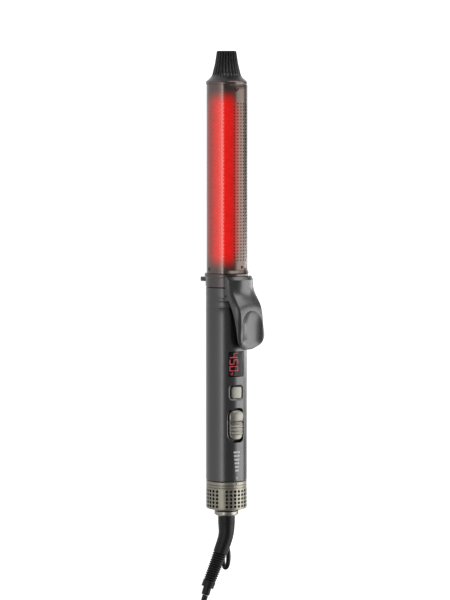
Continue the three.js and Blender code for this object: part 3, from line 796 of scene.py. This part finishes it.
def make_tie():
    """A woven strap round the hank's waist: a flat ring with eased edges."""
    half, ease, share = 4.0, 0.4, 0.25
    hank_height = 3 * HANK["pitch"] + 2 * CORD_R
    middle_z = HANK["floor"] - CORD_R + hank_height / 2
    width, height = 4 * HANK["pitch"] + 2.8, hank_height + 1.6
    outer = rounded_rectangle(width + 0.9, height + 0.9, 2.6)
    inner = rounded_rectangle(width - 0.7, height - 0.7, 1.8)
    edges = [(half, share), (half - ease, 0.0), (ease - half, 0.0), (-half, share)]
    walls = [(edge, outer, inner) for edge in edges] + [(edge, inner, outer) for edge in reversed(edges)]
    loops = []
    for (x, shrink), here, other in walls:
        pairs = [(Vector(a), Vector(b)) for a, b in zip(here, other)]
        eased = [a + (b - a) * shrink for a, b in pairs]
        loops.append([hank_point(x, p.x, middle_z + p.y) for p in eased])
    tie = mesh_object("hank_strap", *loft(loops, ring=True))
    return finish_piece(tie, STRAP, "handle", ["cord_tie"])


def superellipse(half_width, half_height, power, count=40):
    """A circle squared off by its power, as (a, b) points."""
    made = []
    for i in range(count):
        angle = 2 * math.pi * i / count
        c, s = math.cos(angle), math.sin(angle)
        made.append((half_width * math.copysign(abs(c) ** (2 / power), c),
                     half_height * math.copysign(abs(s) ** (2 / power), s)))
    return made


def make_prong(name, side, root):
    """A flat blade with a round hole near its end."""
    y, tip = 6.35 * side, root + 15.7
    loops = []
    for x, half_width, half_height in ((root, 0.75, 3.2), (tip - 2.4, 0.75, 3.2), (tip - 0.8, 0.72, 2.6),
                                       (tip, 0.35, 2.1)):
        outline = rounded_rectangle(2 * half_width, 2 * half_height, 0.3, 3)
        loops.append([lead_point(x, HANK["y"] + y + a, PLUG_Z + b) for a, b in outline])
    metal = mesh_object(f"plug_prong_{name}", *loft(loops))
    hole = prism([around(1.5, 15 * i, 0)[:2] for i in range(24)], -4, 4)
    across = Matrix.Translation(lead_point(tip - 4, HANK["y"] + y, PLUG_Z)) @ Matrix.Rotation(QUARTER, 4, "X")
    cut_with(metal, [mesh_object("prong_hole", *moved(hole, across))])
    return finish_piece(metal, BRASS, "handle", [f"plug_blade_{name}"])


def make_plug():
    """A moulded two-blade plug: ribbed relief, shouldered grip and flat face."""
    start, relief, body = 270.3, 24.0, 25.0
    shoulder = start + relief
    sections = [(start, 2.6, 2.6, 2), (start + 0.3, 3.1, 3.1, 2)]
    for rib in range(6):
        x, radius = start + 2 + rib * 3.2, 3.2 + 0.3 * rib
        for step, grow in ((0, 0), (0.3, -0.6), (0.9, -0.6), (1.2, 0.1)):
            sections.append((x + step, radius + grow, radius + grow, 2))
    for x, *size in ((-2.0, 5.2, 5.0, 2.2), (-0.6, 6.0, 5.4, 2.4), (1.2, 7.4, 6.1, 2.8), (4.0, 9.4, 6.7, 3.2),
                     (7.5, 11.2, 6.9, 3.6), (10.0, 11.8, 6.9, 4.0), (11.0, 11.4, 6.6, 4.0),
                     (12.2, 11.4, 6.6, 4.0), (13.2, 11.8, 6.9, 4.2), (body - 1.3, 11.9, 6.95, 4.6),
                     (body - 0.4, 11.5, 6.6, 4.6), (body - 0.3, 10.8, 5.9, 4.6)):
        sections.append((shoulder + x, *size))
    loops = [[lead_point(x, HANK["y"] + a, PLUG_Z + b) for a, b in superellipse(*size)]
             for x, *size in sections]
    plug = mesh_object("plug_grip", *loft(loops), sharp=50)
    finish_piece(plug, CORD_SKIN, "handle", ["plug_body"])
    return [plug, make_prong("left", -1, shoulder + body), make_prong("right", 1, shoulder + body)]


def make_cord():
    """The cord, drawn in the row frame, with its tie and its plug."""
    line = cord_line()
    cord = mesh_object("power_cord", *tube_along(line, lambda i: CORD_R, 16))
    cord.data.materials.append(CORD_SKIN)
    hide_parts("cord_tube", "cord_hank", "cord_tail")
    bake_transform(cord)
    make_tie()
    make_plug()
    return cord


# ---------- handle ----------
def panel_dish(arc, z):
    """How deep the handle is dished under its controls, arc millimetres round from the panel's middle."""
    button = rounded_box_distance(arc, z - BUTTON["z"], 14.3, 12.9, 3.6)
    slider = rounded_box_distance(arc, z - SLIDER["z"], 17.2, 27.6, 7.6)
    return 1 - smooth(-2.0, 0.0, button) + 1.15 * (1 - smooth(-2.2, 0.0, slider))


def make_handle():
    """The gunmetal tube, dished under the controls, with real openings for them and the display."""
    foot_z, top_z, dish_from, dish_to = 21.1, 174.4, 44, 104
    fine_from, fine_to = -52.0, 17.0
    angles = list(np.arange(fine_from, fine_to, 1.15)) + list(np.linspace(fine_to, 360 + fine_from, 84)[:-1])
    levels = [(foot_z, -0.5), (foot_z + 0.4, 0), (30, 0)]
    levels += [(z, 0) for z in np.arange(dish_from, dish_to, 0.42)]
    levels += [(z, 0) for z in (112, 130, 150)]
    for groove in (159.0, 164.2, 166.3):
        levels += [(groove - 0.3, 0), (groove - 0.1, -0.12), (groove + 0.1, -0.12), (groove + 0.3, 0)]
    levels += [(169, 0), (top_z - 0.5, 0), (top_z, -0.45)]
    loops = []
    for z, step in levels:
        loop = []
        for angle in angles:
            arc = math.radians(angle - PANEL_ANGLE) * HANDLE_R
            dish = panel_dish(arc, z) if dish_from < z < dish_to and abs(arc) < 10 else 0
            loop.append(around(HANDLE_R + step - dish, angle, z))
        loops.append(loop)
    wall = 2.0
    for z, deeper in ((top_z, 0), (dish_to, 1.0), (dish_from, 1.0), (foot_z, 0)):
        loops.append([around(HANDLE_R - wall - deeper, angle, z) for angle in angles])
    handle = mesh_object("handle_shell", *flipped(loft(loops, ring=True)))

    def window(size, gap, radius, extra=0.0):
        outline = rounded_rectangle(size["width"] + gap, size["height"] + gap + extra, radius)
        block = moved(prism(outline, 9, 20), ON_PANEL @ Matrix.Translation((0, size["z"], 0)))
        return mesh_object("window", *block)

    cut_with(handle, [window(DISPLAY, 0.3, 0.9), window(BUTTON, 0.6, 1.9),
                      window(SLIDER, 0.9, 3.9, 2 * SLIDER["travel"])])
    handle.data.transform(LOCAL)
    finish_piece(handle, GUNMETAL, "handle", ["handle_tube"])


def bent(outline, z, outer, inner, inset, crown=lambda x, y: 0.0):
    """A cap that follows the handle's curve, with a rounded rim. outline is (x round, y along)."""
    top = 1 - inset / 6
    rims = [(1.0, inner), (1.0, outer - inset), (1 - 0.3 * inset / 6, outer - 0.3 * inset), (top, outer)]
    rims += [(share * top, outer) for share in np.linspace(1, 0.0, 10)[1:-1]]
    loops = []
    for share, radius in rims:
        loop = []
        for x, y in outline:
            x, y = x * share, y * share
            lift = crown(x, y) if radius > outer - 0.5 * inset else 0.0
            loop.append(around(radius + lift, PANEL_ANGLE + math.degrees(x / HANDLE_R), z + y))
        loops.append(loop)
    return loft(loops)


def make_panel_details():
    """The lens, its digits, the button, the slider and the printed marks."""
    def hollow(x, y):
        return -0.35 * (1 - (2 * x / BUTTON["width"]) ** 2) * (1 - (2 * y / BUTTON["height"]) ** 2)

    lens = bent(rounded_rectangle(DISPLAY["width"] - 0.1, DISPLAY["height"] - 0.1, 0.8, 4), DISPLAY["z"],
                HANDLE_R - 0.12, HANDLE_R - 1.5, 0.12)
    pillow = bent(rounded_rectangle(BUTTON["width"], BUTTON["height"], 1.6), BUTTON["z"],
                  HANDLE_R - 0.05, 13.9, 0.5, hollow)
    iron_piece("display_lens", lens, LENS, "handle", ["display_window"])
    iron_piece("display_digits", digits(), DIGIT_RED, "handle")
    iron_piece("button_cap", pillow, CHAMPAGNE_PLASTIC, "power_button",
               ["power_button"])
    iron_piece("slider_knob", slider_knob(), CHAMPAGNE_PLASTIC, "mode_slider",
               ["mode_slider"], sharp=50)
    iron_piece("panel_marks", printed_marks(), PRINT, "handle")


def slab_on_handle(x0, x1, z0, z1, outer, inner):
    """A thin patch that follows the handle, x millimetres round from the panel's middle."""
    loops = []
    for x in np.linspace(x0, x1, 5):
        angle = PANEL_ANGLE + math.degrees(x / HANDLE_R)
        loops.append([around(radius, angle, z)
                      for radius, z in ((inner, z0), (outer, z0), (outer, z1), (inner, z1))])
    return loft(loops)


# The lit bars of each digit: top, upper right, lower right, foot, lower left, upper left, middle.
SEGMENTS = {"4": "0110011", "5": "1011011", "0": "1111110", "F": "1000111"}


def glyph(character, x_foot, z_left, height, width, bar, outer):
    """A seven-bar glyph whose top points round toward the lever and which reads toward the cord."""
    x_top, x_middle = x_foot + height, x_foot + height / 2
    z_right = z_left - width
    gap = 0.12
    bars = [
        (x_top - bar, x_top, z_right + gap, z_left - gap),
        (x_middle + gap, x_top - gap, z_right, z_right + bar),
        (x_foot + gap, x_middle - gap, z_right, z_right + bar),
        (x_foot, x_foot + bar, z_right + gap, z_left - gap),
        (x_foot + gap, x_middle - gap, z_left - bar, z_left),
        (x_middle + gap, x_top - gap, z_left - bar, z_left),
        (x_middle - bar / 2, x_middle + bar / 2, z_right + gap, z_left - gap),
    ]
    return [slab_on_handle(*extent, outer, outer - 0.1)
            for extent, lit in zip(bars, SEGMENTS[character]) if lit == "1"]


def digits():
    """A reading of 450 degrees, with a small dot and unit."""
    outer = HANDLE_R - 0.07
    shapes = []
    for i, character in enumerate("450"):
        shapes += glyph(character, -6.3, DISPLAY["z"] + 9.0 - 5.2 * i, 7.4, 4.0, 0.65, outer)
    shapes += glyph("F", -6.1, DISPLAY["z"] - 7.3, 2.8, 1.6, 0.35, outer)
    degree_z = DISPLAY["z"] - 6.6
    shapes.append(slab_on_handle(-4.3, -3.6, degree_z - 0.35, degree_z + 0.35, outer, outer - 0.1))
    return joined(*shapes)


def slider_knob():
    """A thumb slider: a smooth bump, a ledge, then ribs that run out into a rounded foot."""
    half_width, half_length = SLIDER["width"] / 2, SLIDER["height"] / 2
    columns, rows = 25, 90
    ribs_from, rib_pitch, ledge_from, ledge_to = -8.2, 2.7, 1.6, 2.4
    bump_at, bump_length = 6.6, 9.6

    def half_at(y):
        radius = 3.6 if y > 0 else 5.6
        past = abs(y) - (half_length - radius)
        return half_width - (radius - math.sqrt(max(radius ** 2 - max(past, 0) ** 2, 0)))

    def height(y):
        ends = smooth(half_length, half_length - 1.0, abs(y))
        if y > ledge_to:
            bump = 0.95 * math.cos(math.pi * (y - bump_at) / bump_length)
            rise = bump * smooth(ledge_to, ledge_to + 1.2, y)
        elif y > ledge_from:
            rise = -0.3
        else:
            rise = 0.1
            if y > ribs_from:
                rise += 0.45 * (0.5 + 0.5 * math.cos(2 * math.pi * (y + 1.2) / rib_pitch))
        return rise * ends - 0.5 * (1 - ends)

    loops = []
    for i in range(rows + 1):
        y = -half_length + 2 * half_length * i / rows
        half = max(half_at(y), 0.5)
        top = []
        for j in range(columns):
            s = -1 + 2 * j / (columns - 1)
            edge = 0.5 * smooth(0.84, 1.0, abs(s))
            x = half * s
            top.append((x, HANDLE_R + 0.1 + height(y) - edge))
        loop = [(-half, 13.4)] + top + [(half, 13.4)]
        loops.append([around(r, PANEL_ANGLE + math.degrees(x / HANDLE_R), SLIDER["z"] + y) for x, r in loop])
    return flipped(loft(loops))


def printed_marks():
    """Plain level bars and an arrowhead, printed under the slider."""
    outer, inner = HANDLE_R + 0.03, HANDLE_R - 0.1
    shapes = []
    bars = [(2.9 - 0.28 * i, 44.5 - 2.9 * i, 0.75) for i in range(6)]
    arrow = [(0.9 - 0.22 * i, 24.6 - 0.5 * i, 0.2) for i in range(4)]
    for reach, z, half in bars + arrow:
        shapes.append(slab_on_handle(-reach, reach, z - half, z + half, outer, inner))
    return joined(*shapes)


# ---------- collar, stand and hinge ----------
def make_collar():
    """The ring between handle and barrel, its two lugs for the foot, and the pins of clamp and foot."""
    ring = lathe([(14.9, 174.7), (16.45, 174.7, 0.3), (16.75, 182.0, 0.3), (17.3, 182.5, 0.3),
                  (17.3, 184.9, 0.4), (16.9, 185.3, 0.2), (14.9, 185.3)])
    lugs = []
    for side in (-1, 1):
        outline = rounded([(FOOT_U - 1.4, FOOT_Z - 1.6, 0.4), (-15.4, FOOT_Z - 1.6), (-15.4, FOOT_Z + 1.6),
                           (FOOT_U - 1.4, FOOT_Z + 1.6, 0.4)])
        points, faces = flipped(prism(outline, side * 7.4 - 1.0, side * 7.4 + 1.0))
        lugs.append(([(u, v, z) for u, z, v in points], faces))
    iron_piece("barrel_collar_ring", joined(ring, *lugs), TAUPE, "handle", ["barrel_collar"])
    pins = [("hinge_pin", HINGE_U, HINGE_Z, 1.2, 14.9), ("stand_pin", FOOT_U, FOOT_Z, 0.8, 8.3)]
    for name, u, z, radius, half in pins:
        pin = lathe([(0, -half), (radius, -half, 0.3), (radius, half, 0.3), (0, half)], 40)
        turned = moved(pin, Matrix.Translation((u, 0, z)) @ Matrix.Rotation(QUARTER, 4, "X"))
        iron_piece(f"{name}_turned", turned, DARK_STEEL, "handle", [name])


def make_stand():
    """The flip-out foot: a short blade, a little thinner in the middle, between the collar's lugs."""
    half, tip_u = 1.65, -22.5
    outline = rounded([(tip_u, FOOT_Z - half, 0.4), (FOOT_U + 1.9, FOOT_Z - half, 1.6),
                       (FOOT_U + 1.9, FOOT_Z + half, 1.6), (tip_u, FOOT_Z + half, 0.4)])
    loops = []
    far_half = [(1.4, 0.18), (1.6, 0.0), (5.7, 0.0), (6.0, 0.3)]
    for v, shrink in [(-v, shrink) for v, shrink in reversed(far_half)] + far_half:
        squeeze = 1 - shrink / half
        loops.append([(max(u, tip_u + shrink), v, FOOT_Z + (z - FOOT_Z) * squeeze) for u, z in outline])
    iron_piece("stand_blade", loft(loops), TAUPE, "stand", ["stand_foot"])


# ---------- barrel ----------
def in_window(angle, z, middle, half):
    """Whether a hole's centre lies inside a lit window with rounded corners."""
    z_from, z_to = 197.0, 321.3
    arc = math.radians((angle - middle + 180) % 360 - 180) * BARREL_R
    width = 2 * math.radians(half) * BARREL_R
    return rounded_box_distance(arc, z - (z_from + z_to) / 2, width, z_to - z_from, 7.0) < 0


def make_barrel():
    """The bare barrel, with staggered fine holes over its two lit windows."""
    columns = [360 * i / 52 - 108.2 for i in range(53)]
    pitch = 1.49
    count = int((BARREL_Z[1] - BARREL_Z[0] - 1.2) / pitch)
    start = (BARREL_Z[0] + BARREL_Z[1] - count * pitch) / 2
    wall = 0.9
    levels = [BARREL_Z[0], *(start + pitch * i for i in range(count + 1)), BARREL_Z[1]]
    rows = [(z, BARREL_R, BARREL_R - wall) for z in levels]

    def is_hole(column, row):
        angle = (columns[column] + columns[column + 1]) / 2
        z = (rows[row][0] + rows[row + 1][0]) / 2
        if (column + row) % 2:
            return False
        return (in_window(angle, z, FRONT_WINDOW["middle"], 38)
                or in_window(angle, z, REAR_WINDOW["middle"], REAR_WINDOW["half"] - 2))

    skin = perforated(columns, rows, sub=2, hole_radius=0.4, is_hole=is_hole, ring=True)
    axis_piece("barrel_skin", skin, BARREL_COATING_PAINTED_LIGHT, "handle", ["barrel_tube"])
    for name, window in (("front", FRONT_WINDOW), ("rear", REAR_WINDOW)):
        low, high = window["middle"] - window["half"] + 1, window["middle"] + window["half"] - 1
        sheet_rows = [(z, 14.6, 13.4) for z in np.linspace(191, 320, 12)]
        shape = perforated(list(np.linspace(low, high, 24)), sheet_rows, 2, 0, lambda c, r: False,
                           ring=False)
        iron_piece(f"diffuser_{name}", shape, LAMP_RED, "handle", [f"ir_diffuser_{name}"])


def make_screws():
    """Cross-head screws: three at the barrel's foot and one that holds the tip."""
    places = [("barrel_screw_near", -108.5, 188.6), ("barrel_screw_far", 108.5, 188.6),
              ("barrel_screw_under", 180.0, 188.6), ("tip_screw", 180.0, 329.7)]
    head = lathe([(0, -0.85), (1.8, -0.85), (1.8, 0.0, 0.2), (1.5, 0.22, 0.2), (0, 0.28)], 40)
    slot = prism([(-1.1, -0.2), (1.1, -0.2), (1.1, 0.2), (-1.1, 0.2)], -0.25, 1)
    for name, angle, z in places:
        seat = outward(15.72, angle, z)
        screw = mesh_object(f"{name}_head", *moved(head, seat))
        slots = [moved(slot, seat @ Matrix.Rotation(turn, 4, "Z")) for turn in (0, QUARTER)]
        cut_with(screw, [mesh_object("slot", *shape) for shape in slots])
        screw.data.transform(LOCAL)
        finish_piece(screw, DARK_STEEL, "handle", [name])


def make_tip():
    """The black cool tip: a flat top, two dozen flutes and a flared skirt."""
    base_z, skirt_z, skirt_r = 333.5, 335.8, 16.3
    z_nodes = [base_z, skirt_z, 336.3, 337.3, 338.9, 340.5, 343.7, 346.8, 350, 353.1, 356.3, 358.9]
    r_nodes = [skirt_r, skirt_r, 15.7, 14.5, 12.8, 11.65, 10.7, 9.9, 9.2, 8.7, 8.2, 7.86]
    profile = curve_through(z_nodes, r_nodes)
    segments, flutes = 240, 24
    levels = [base_z, base_z + 0.2] + list(np.linspace(334.2, 335.5, 4)) + [skirt_z]
    levels += list(np.linspace(336.0, 341.5, 16)) + list(np.linspace(342.2, 358.7, 20))
    loops = [[around(14.6, 360 * j / segments, base_z) for j in range(segments)]]
    for z in levels:
        radius = profile(z) if z > skirt_z else skirt_r - (0.15 if z in (base_z, skirt_z) else 0.0)
        loop = []
        for j in range(segments):
            wave = 0.5 + 0.5 * math.cos(2 * math.pi * flutes * j / segments)
            depth = 0.95 * smooth(338.4, 342.5, z + 1.6 * wave)
            loop.append(around(radius - depth * (1 - wave ** 0.6), 360 * j / segments, z))
        loops.append(loop)
    for share, z in ((0.985, 359.3), (0.95, 359.65), (0.9, 359.8), (0.82, 359.8), (0.8, 359.6), (0.4, 359.6)):
        loops.append([(p[0] * share, p[1] * share, z) for p in loops[len(levels)]])
    axis_piece("fluted_tip", loft(loops), TIP_PLASTIC, "handle", ["cool_tip"])


# ---------- clamp ----------
def make_plate():
    """The perforated clamp plate with its flared foot, a dark sheet behind its holes that paints the shade
    under the plate, and its rivets.
    """
    columns = [-PLATE_HALF_ANGLE, -47, -39, -31.2, -20.8, -10.4, 0, 10.4, 20.8, 31.2, 39, 47,
               PLATE_HALF_ANGLE]
    pitch, first, inner = 2.5, 194.65, 16.05
    foot = [(185.6, 17.7, 17.25), (185.75, 17.8, 17.2), (187.75, 16.7, 16.1), (188.0, PLATE_R, inner)]
    rows = foot + [(first + pitch * i, PLATE_R, inner) for i in range(52)]
    rows += [(PLATE_END_Z - 0.5, PLATE_R, inner), (PLATE_END_Z, PLATE_R - 0.15, inner)]

    def is_hole(column, row):
        if not len(foot) <= row < len(rows) - 3:
            return False
        angle = (columns[column] + columns[column + 1]) / 2
        z = (rows[row][0] + rows[row + 1][0]) / 2
        arch = 0.0 if abs(angle) < 20 else 2.5 if abs(angle) < 30 else 999
        return 195.2 + arch < z < 320.5 - arch

    plate = perforated(columns, rows, sub=3, hole_radius=0.62, is_hole=is_hole, ring=False)
    axis_piece("clamp_skin", plate, PLATE_COATING_PAINTED_GLOW, "clamp", ["clamp_plate"])
    # Painted shade: a dark sheet between barrel and plate, so that the plate's holes look shaded.
    loops = []
    for angle in np.linspace(-34, 34, 25):
        loops.append([around(r, angle, z)
                      for r, z in ((15.93, 193.5), (16.0, 193.5), (16.0, 322.5), (15.93, 322.5))])
    iron_piece("clamp_shade_sheet", loft(loops), INNER_PLASTIC, "clamp")
    for name, angle, z, radius, material in (("tip", -18.5, 329.7, 1.8, RIVET_RED),
                                             ("base", 0.0, 190.4, 1.2, DARK_STEEL)):
        head = lathe([(0, -0.3), (radius, -0.3), (radius, 0.15, 0.2), (radius * 0.55, 0.42, 0.5),
                      (0, 0.1)], 40)
        rivet = moved(head, outward(16.85, angle, z))
        iron_piece(f"rivet_{name}", rivet, material, "clamp", [f"clamp_rivet_{name}"])


def lever_profiles():
    """The lever's measures along Z, from its thumb end to its yoke.

    half and foot_half are its half widths at the top and at the wall's foot. edge, crest and middle are
    the heights of its rim, of the ridge inside the rim and of the middle. wrap turns that section into
    the yoke's ellipse, and wall is how far the side wall hangs below the rim.
    """
    z = [125.8, 126.6, 128.0, 130.8, 134.3, 143.8, 154.1, 161, 166, 171, 176, 184]
    return {
        "half": curve_through(z, [4.4, 6.9, 9.9, 13.3, 15.2, 15.0, 15.0, 15.1, 14.9, 14.6, 14.4, 14.3]),
        "foot_half": curve_through(z, [4.4, 6.9, 9.9, 13.3, 15.2, 15.0, 15.1, 15.2, 15.1, 14.9, 14.8, 14.75]),
        "edge": curve_through(z, [23.9, 24.3, 24.9, 25.7, 26.1, 25.8, 23.3, 20.5, 19.0, 17.9, 16.7, 15.5]),
        "crest": curve_through(z, [24.6, 25.1, 25.9, 27.0, 27.6, 27.5, 26.5, 24.5, 22.8, 21.0, 19.8, 19.2]),
        "middle": curve_through(z, [24.7, 25.2, 26.0, 27.1, 27.7, 27.8, 27.1, 25.8, 24.2, 22.9, 22.45, 22.4]),
        "wrap": curve_through(z, [0, 0, 0, 0, 0, 0, 0, 0, 0.2, 0.55, 0.9, 1]),
        "wall": curve_through(z, [0.9, 0.9, 0.9, 0.9, 0.9, 2.5, 2.8, 3.0, 3.0, 3.0, 3.0, 3.0]),
    }


def make_lever():
    """The thumb lever: an elliptic yoke with flat ears that rises into a dished thumb pad."""
    profile = lever_profiles()
    ellipse_u, ellipse_v = 22.4, 19.0
    crest_share = 0.83
    ear = {"from": 164.3, "bottom": 11.6}
    bevel = {"from": 180.6, "to": 183.1, "drop": 1.5}
    dish = {"half": 12.3, "end": 144.6, "depth": 4.2}
    wall_thick, roof_thick = 1.6, 1.9
    shares = sorted([i / 30 for i in range(31)] + [0.965, 0.985])

    def top_height(v, z):
        half = profile["half"](z)
        crest_at = crest_share * half
        edge, crest, middle = profile["edge"](z), profile["crest"](z), profile["middle"](z)
        if abs(v) <= crest_at:
            pad = middle + (crest - middle) * (v / crest_at) ** 2
        else:
            pad = crest + (edge - crest) * ((abs(v) - crest_at) / (half - crest_at)) ** 1.6
        ellipse = ellipse_u * math.sqrt(1 - (v / ellipse_v) ** 2)
        wrap = profile["wrap"](z)
        q = math.hypot(v, max(z - dish["end"], 0)) / dish["half"]
        sunk = dish["depth"] * max(1 - q * q, 0) * (0.35 + 0.65 * smooth(125, 134, z))
        return pad * (1 - wrap) + ellipse * wrap - sunk

    levels = list(np.linspace(125.8, 128.0, 8)) + list(np.linspace(128.4, 163.9, 86))
    levels += [ear["from"] - 0.02, ear["from"], 164.8] + list(np.linspace(165.5, 180.4, 26))
    levels += [bevel["from"], bevel["from"] + 0.1, bevel["to"]]
    loops = []
    for z in levels:
        half, foot_half = profile["half"](z), profile["foot_half"](z)
        cut_back = bevel["drop"] * max(z - bevel["from"], 0) / (bevel["to"] - bevel["from"])
        outer = [(top_height(half * share, z) - cut_back, half * share) for share in shares]
        edge = outer[-1][0]
        low = ear["bottom"] if z >= ear["from"] else edge - profile["wall"](z)
        inner_half = foot_half - wall_thick
        thick = 1.2 + (roof_thick - 1.2) * smooth(124.4, 130.0, z)
        wall = [(low + 0.25, foot_half), (low, foot_half - 0.25), (low, inner_half + 0.25),
                (low + 0.2, inner_half)]
        roof = [(top_height(inner_half * share, z) - thick, inner_half * share)
                for share in (0.97, 0.88, 0.75, 0.6, 0.45, 0.3, 0.15)]
        far_side = outer + wall + roof
        near_side = [(u, -v) for u, v in reversed(far_side)]
        centre = (top_height(0, z) - thick, 0)
        loops.append([(u, v, z) for u, v in far_side + [centre] + near_side[:-1]])
    iron_piece("thumb_lever", flipped(loft(loops)), LEVER_PAINT, "clamp",
               ["clamp_lever"], sharp=32)
    cap = lathe([(0, -0.2), (0.95, -0.2), (0.95, 0.15, 0.08), (0, 0.15)], 32)
    for name, side in (("near", -1), ("far", 1)):
        seat = Matrix.Translation((HINGE_U, side * 15.0, HINGE_Z)) @ Matrix.Rotation(-side * QUARTER, 4, "X")
        iron_piece(f"ear_bush_{name}", moved(cap, seat), RUBBER, "clamp")


def make_spring():
    """The coil that pushes the lever up, drawn at rest."""
    turns, steps = 4, 24
    line = []
    for i in range(turns * steps + 1):
        angle = 2 * math.pi * i / steps
        line.append((17.0 + 4.4 * i / (turns * steps), 2.4 * math.cos(angle), 150 + 2.4 * math.sin(angle)))
    coil = tube_along(line, lambda i: 0.4, 10, up=(1, 0, 0))
    spring = iron_piece("lever_coil", coil, STEEL, "handle", ["lever_spring"])
    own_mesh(spring)


# ---------- vent cap and cord exit ----------
def make_vent_cap():
    """The champagne cap, with two fine grooves, five rows of round holes and a dot, and the cord's nut."""
    rib_from, rib_width, holes_round, holes_along, hole_pitch = -69.4, 16.0, 28, 5, 3.0
    step = (360 - rib_width) / holes_round
    columns = [rib_from] + [rib_from + rib_width + step * i for i in range(holes_round + 1)]
    wall, top_z = 1.3, 20.8
    outline = [(-3.2, 7.9), (-3.0, 10.2), (-2.0, 13.6), (-1.45, 15.5), (-1.1, 16.0), (-0.7, CAP_R)]
    rows = [(z, r, max(r - wall, 7.85)) for z, r in outline]
    rows += [(14.75 - hole_pitch * i, CAP_R, CAP_R - wall) for i in reversed(range(holes_along + 1))]
    for groove in (15.95, 18.0):
        rows += [(groove + off, CAP_R - depth, CAP_R - wall)
                 for off, depth in ((-0.45, 0), (-0.2, 0.45), (0.2, 0.45), (0.45, 0))]
    rows += [(top_z - 0.4, CAP_R, CAP_R - wall), (top_z, CAP_R - 0.4, CAP_R - wall)]
    first = len(outline)

    def is_hole(column, row):
        return first <= row < first + holes_along and column != 0

    cap = perforated(columns, rows, sub=4, hole_radius=1.14, is_hole=is_hole, ring=True)
    iron_piece("vent_grille", cap, CHAMPAGNE, "rear_cap", ["vent_cap"])
    dot = lathe([(0, -0.4), (0.75, -0.4), (0.75, 0.06, 0.05), (0, 0.06)], 24)
    dot = moved(dot, outward(CAP_R, PANEL_ANGLE - 2, 19.4))
    iron_piece("cap_dot", dot, BLACK_PLASTIC, "rear_cap")
    nut = lathe([(7.0, -7.4), (8.3, -7.4, 0.5), (9.6, -6.4, 0.8), (9.6, -3.9, 0.3), (9.2, -3.6), (7.0, -3.6)])
    iron_piece("collar_nut", nut, COLLAR_SILVER, "handle", ["cord_collar"])


RELIEF_LINE = [(0, 0, -14.3), (0, 0, -17.5), (-0.08, -0.12, -21.0), (-0.7, -1.0, -26.5), (-2.6, -3.8, -36),
               (-8.27, -12.2, -62.3), (-8.6, -12.75, -64.0)]


def make_relief():
    """The swivel sleeve, the bent ribbed boot and the hanging loop."""
    sleeve = lathe([(0, -14.5), (6.6, -14.5), (6.75, -14.2), (6.75, -7.0, 0.2), (5.4, -6.95), (5.4, 10),
                    (0, 10)])
    iron_piece("swivel_sleeve", sleeve, RUBBER, "swivel", ["swivel_stem"])

    line = spline(RELIEF_LINE, 0.4)
    run = [0.0]
    for a, b in zip(line, line[1:]):
        run.append(run[-1] + (b - a).length)
    ribs_from, pitch, ribs = 24.0, 1.85, 13
    taper = curve_through([0, 4, 9, 14, 30, 50.5], [6.7, 6.4, 6.05, 5.9, 5.5, 5.0])

    def radius_at(i):
        s = run[i]
        radius = taper(s)
        if ribs_from < s < ribs_from + pitch * ribs:
            wave = 0.5 + 0.5 * math.cos(2 * math.pi * (s - ribs_from) / pitch)
            radius -= 0.95 * (1 - wave) ** 2
        if s > run[-1] - 1.0:
            radius -= 0.5 * (s - run[-1] + 1.0) ** 2
        return radius

    boot = tube_along(line, radius_at, 48, up=(1, 0, 0))
    end, tip = Vector(RELIEF_LINE[-1]), Vector((-9.77, -14.2, -70.7))
    nozzle_line = [end.lerp(tip, i / 10) for i in range(11)]
    nozzle = tube_along(nozzle_line, lambda i: 3.25 - 0.12 * (i == 10), 32, up=(1, 0, 0))
    relief = iron_piece("relief_boot", joined(boot, nozzle), RUBBER, "swivel",
                        ["strain_relief"], sharp=60)

    middle = Vector((-6.5, 6.0, -42.0))
    loops = []
    for i in range(64):
        angle = 2 * math.pi * i / 64
        c, s = math.cos(angle), math.sin(angle)
        loops.append([((3.2 + a) * c, b, (9.4 + a) * s) for a, b in superellipse(1.75, 1.6, 3.0, 20)])
    tab = prism(rounded_rectangle(3.2, 2.4, 0.8), 9.6, 16.8)
    hanger = moved(joined(loft(loops, ring=True), tab), Matrix.Translation(middle))
    iron_piece("hanging_loop", hanger, RUBBER, "swivel", ["hang_loop"])
    return relief


# ---------- inner parts that keep their CAD shape ----------
INNER_MATERIALS = (
    (INNER_PLASTIC, ("display_module", "tact_switch", "slide_switch", "chassis_tray", "air_duct",
                     "power_module", "fan_mount", "brush_block")),
    (BLACK_PLASTIC, ("barrel_spigot", "impeller", "swivel_socket")),
    (CERAMIC, ("tip_insulator", "heater_core", "thermistor")),
    (CIRCUIT, ("ir_board_front", "ir_board_rear", "control_board")),
    (ALUMINIUM, ("heat_spreader_front", "heat_spreader_rear", "capacitor")),
    (STEEL, ("thermal_fuse", "fan_motor")),
    (DARK_STEEL, ("lint_screen",)),
    (COPPER, ("slip_rings",)),
)


def dress_inner_parts():
    """Gives the hidden parts that keep their CAD shape their materials."""
    for material, names in INNER_MATERIALS:
        for name in names:
            mesh = frame["nodes"][name].data
            mesh.materials.clear()
            mesh.materials.append(material)


make_camera()
make_floor()
make_lights()
relief_boot = make_relief()
make_cord()
make_handle()
make_panel_details()
make_collar()
make_stand()
make_barrel()
make_screws()
make_tip()
make_plate()
make_lever()
make_spring()
make_vent_cap()
dress_inner_parts()
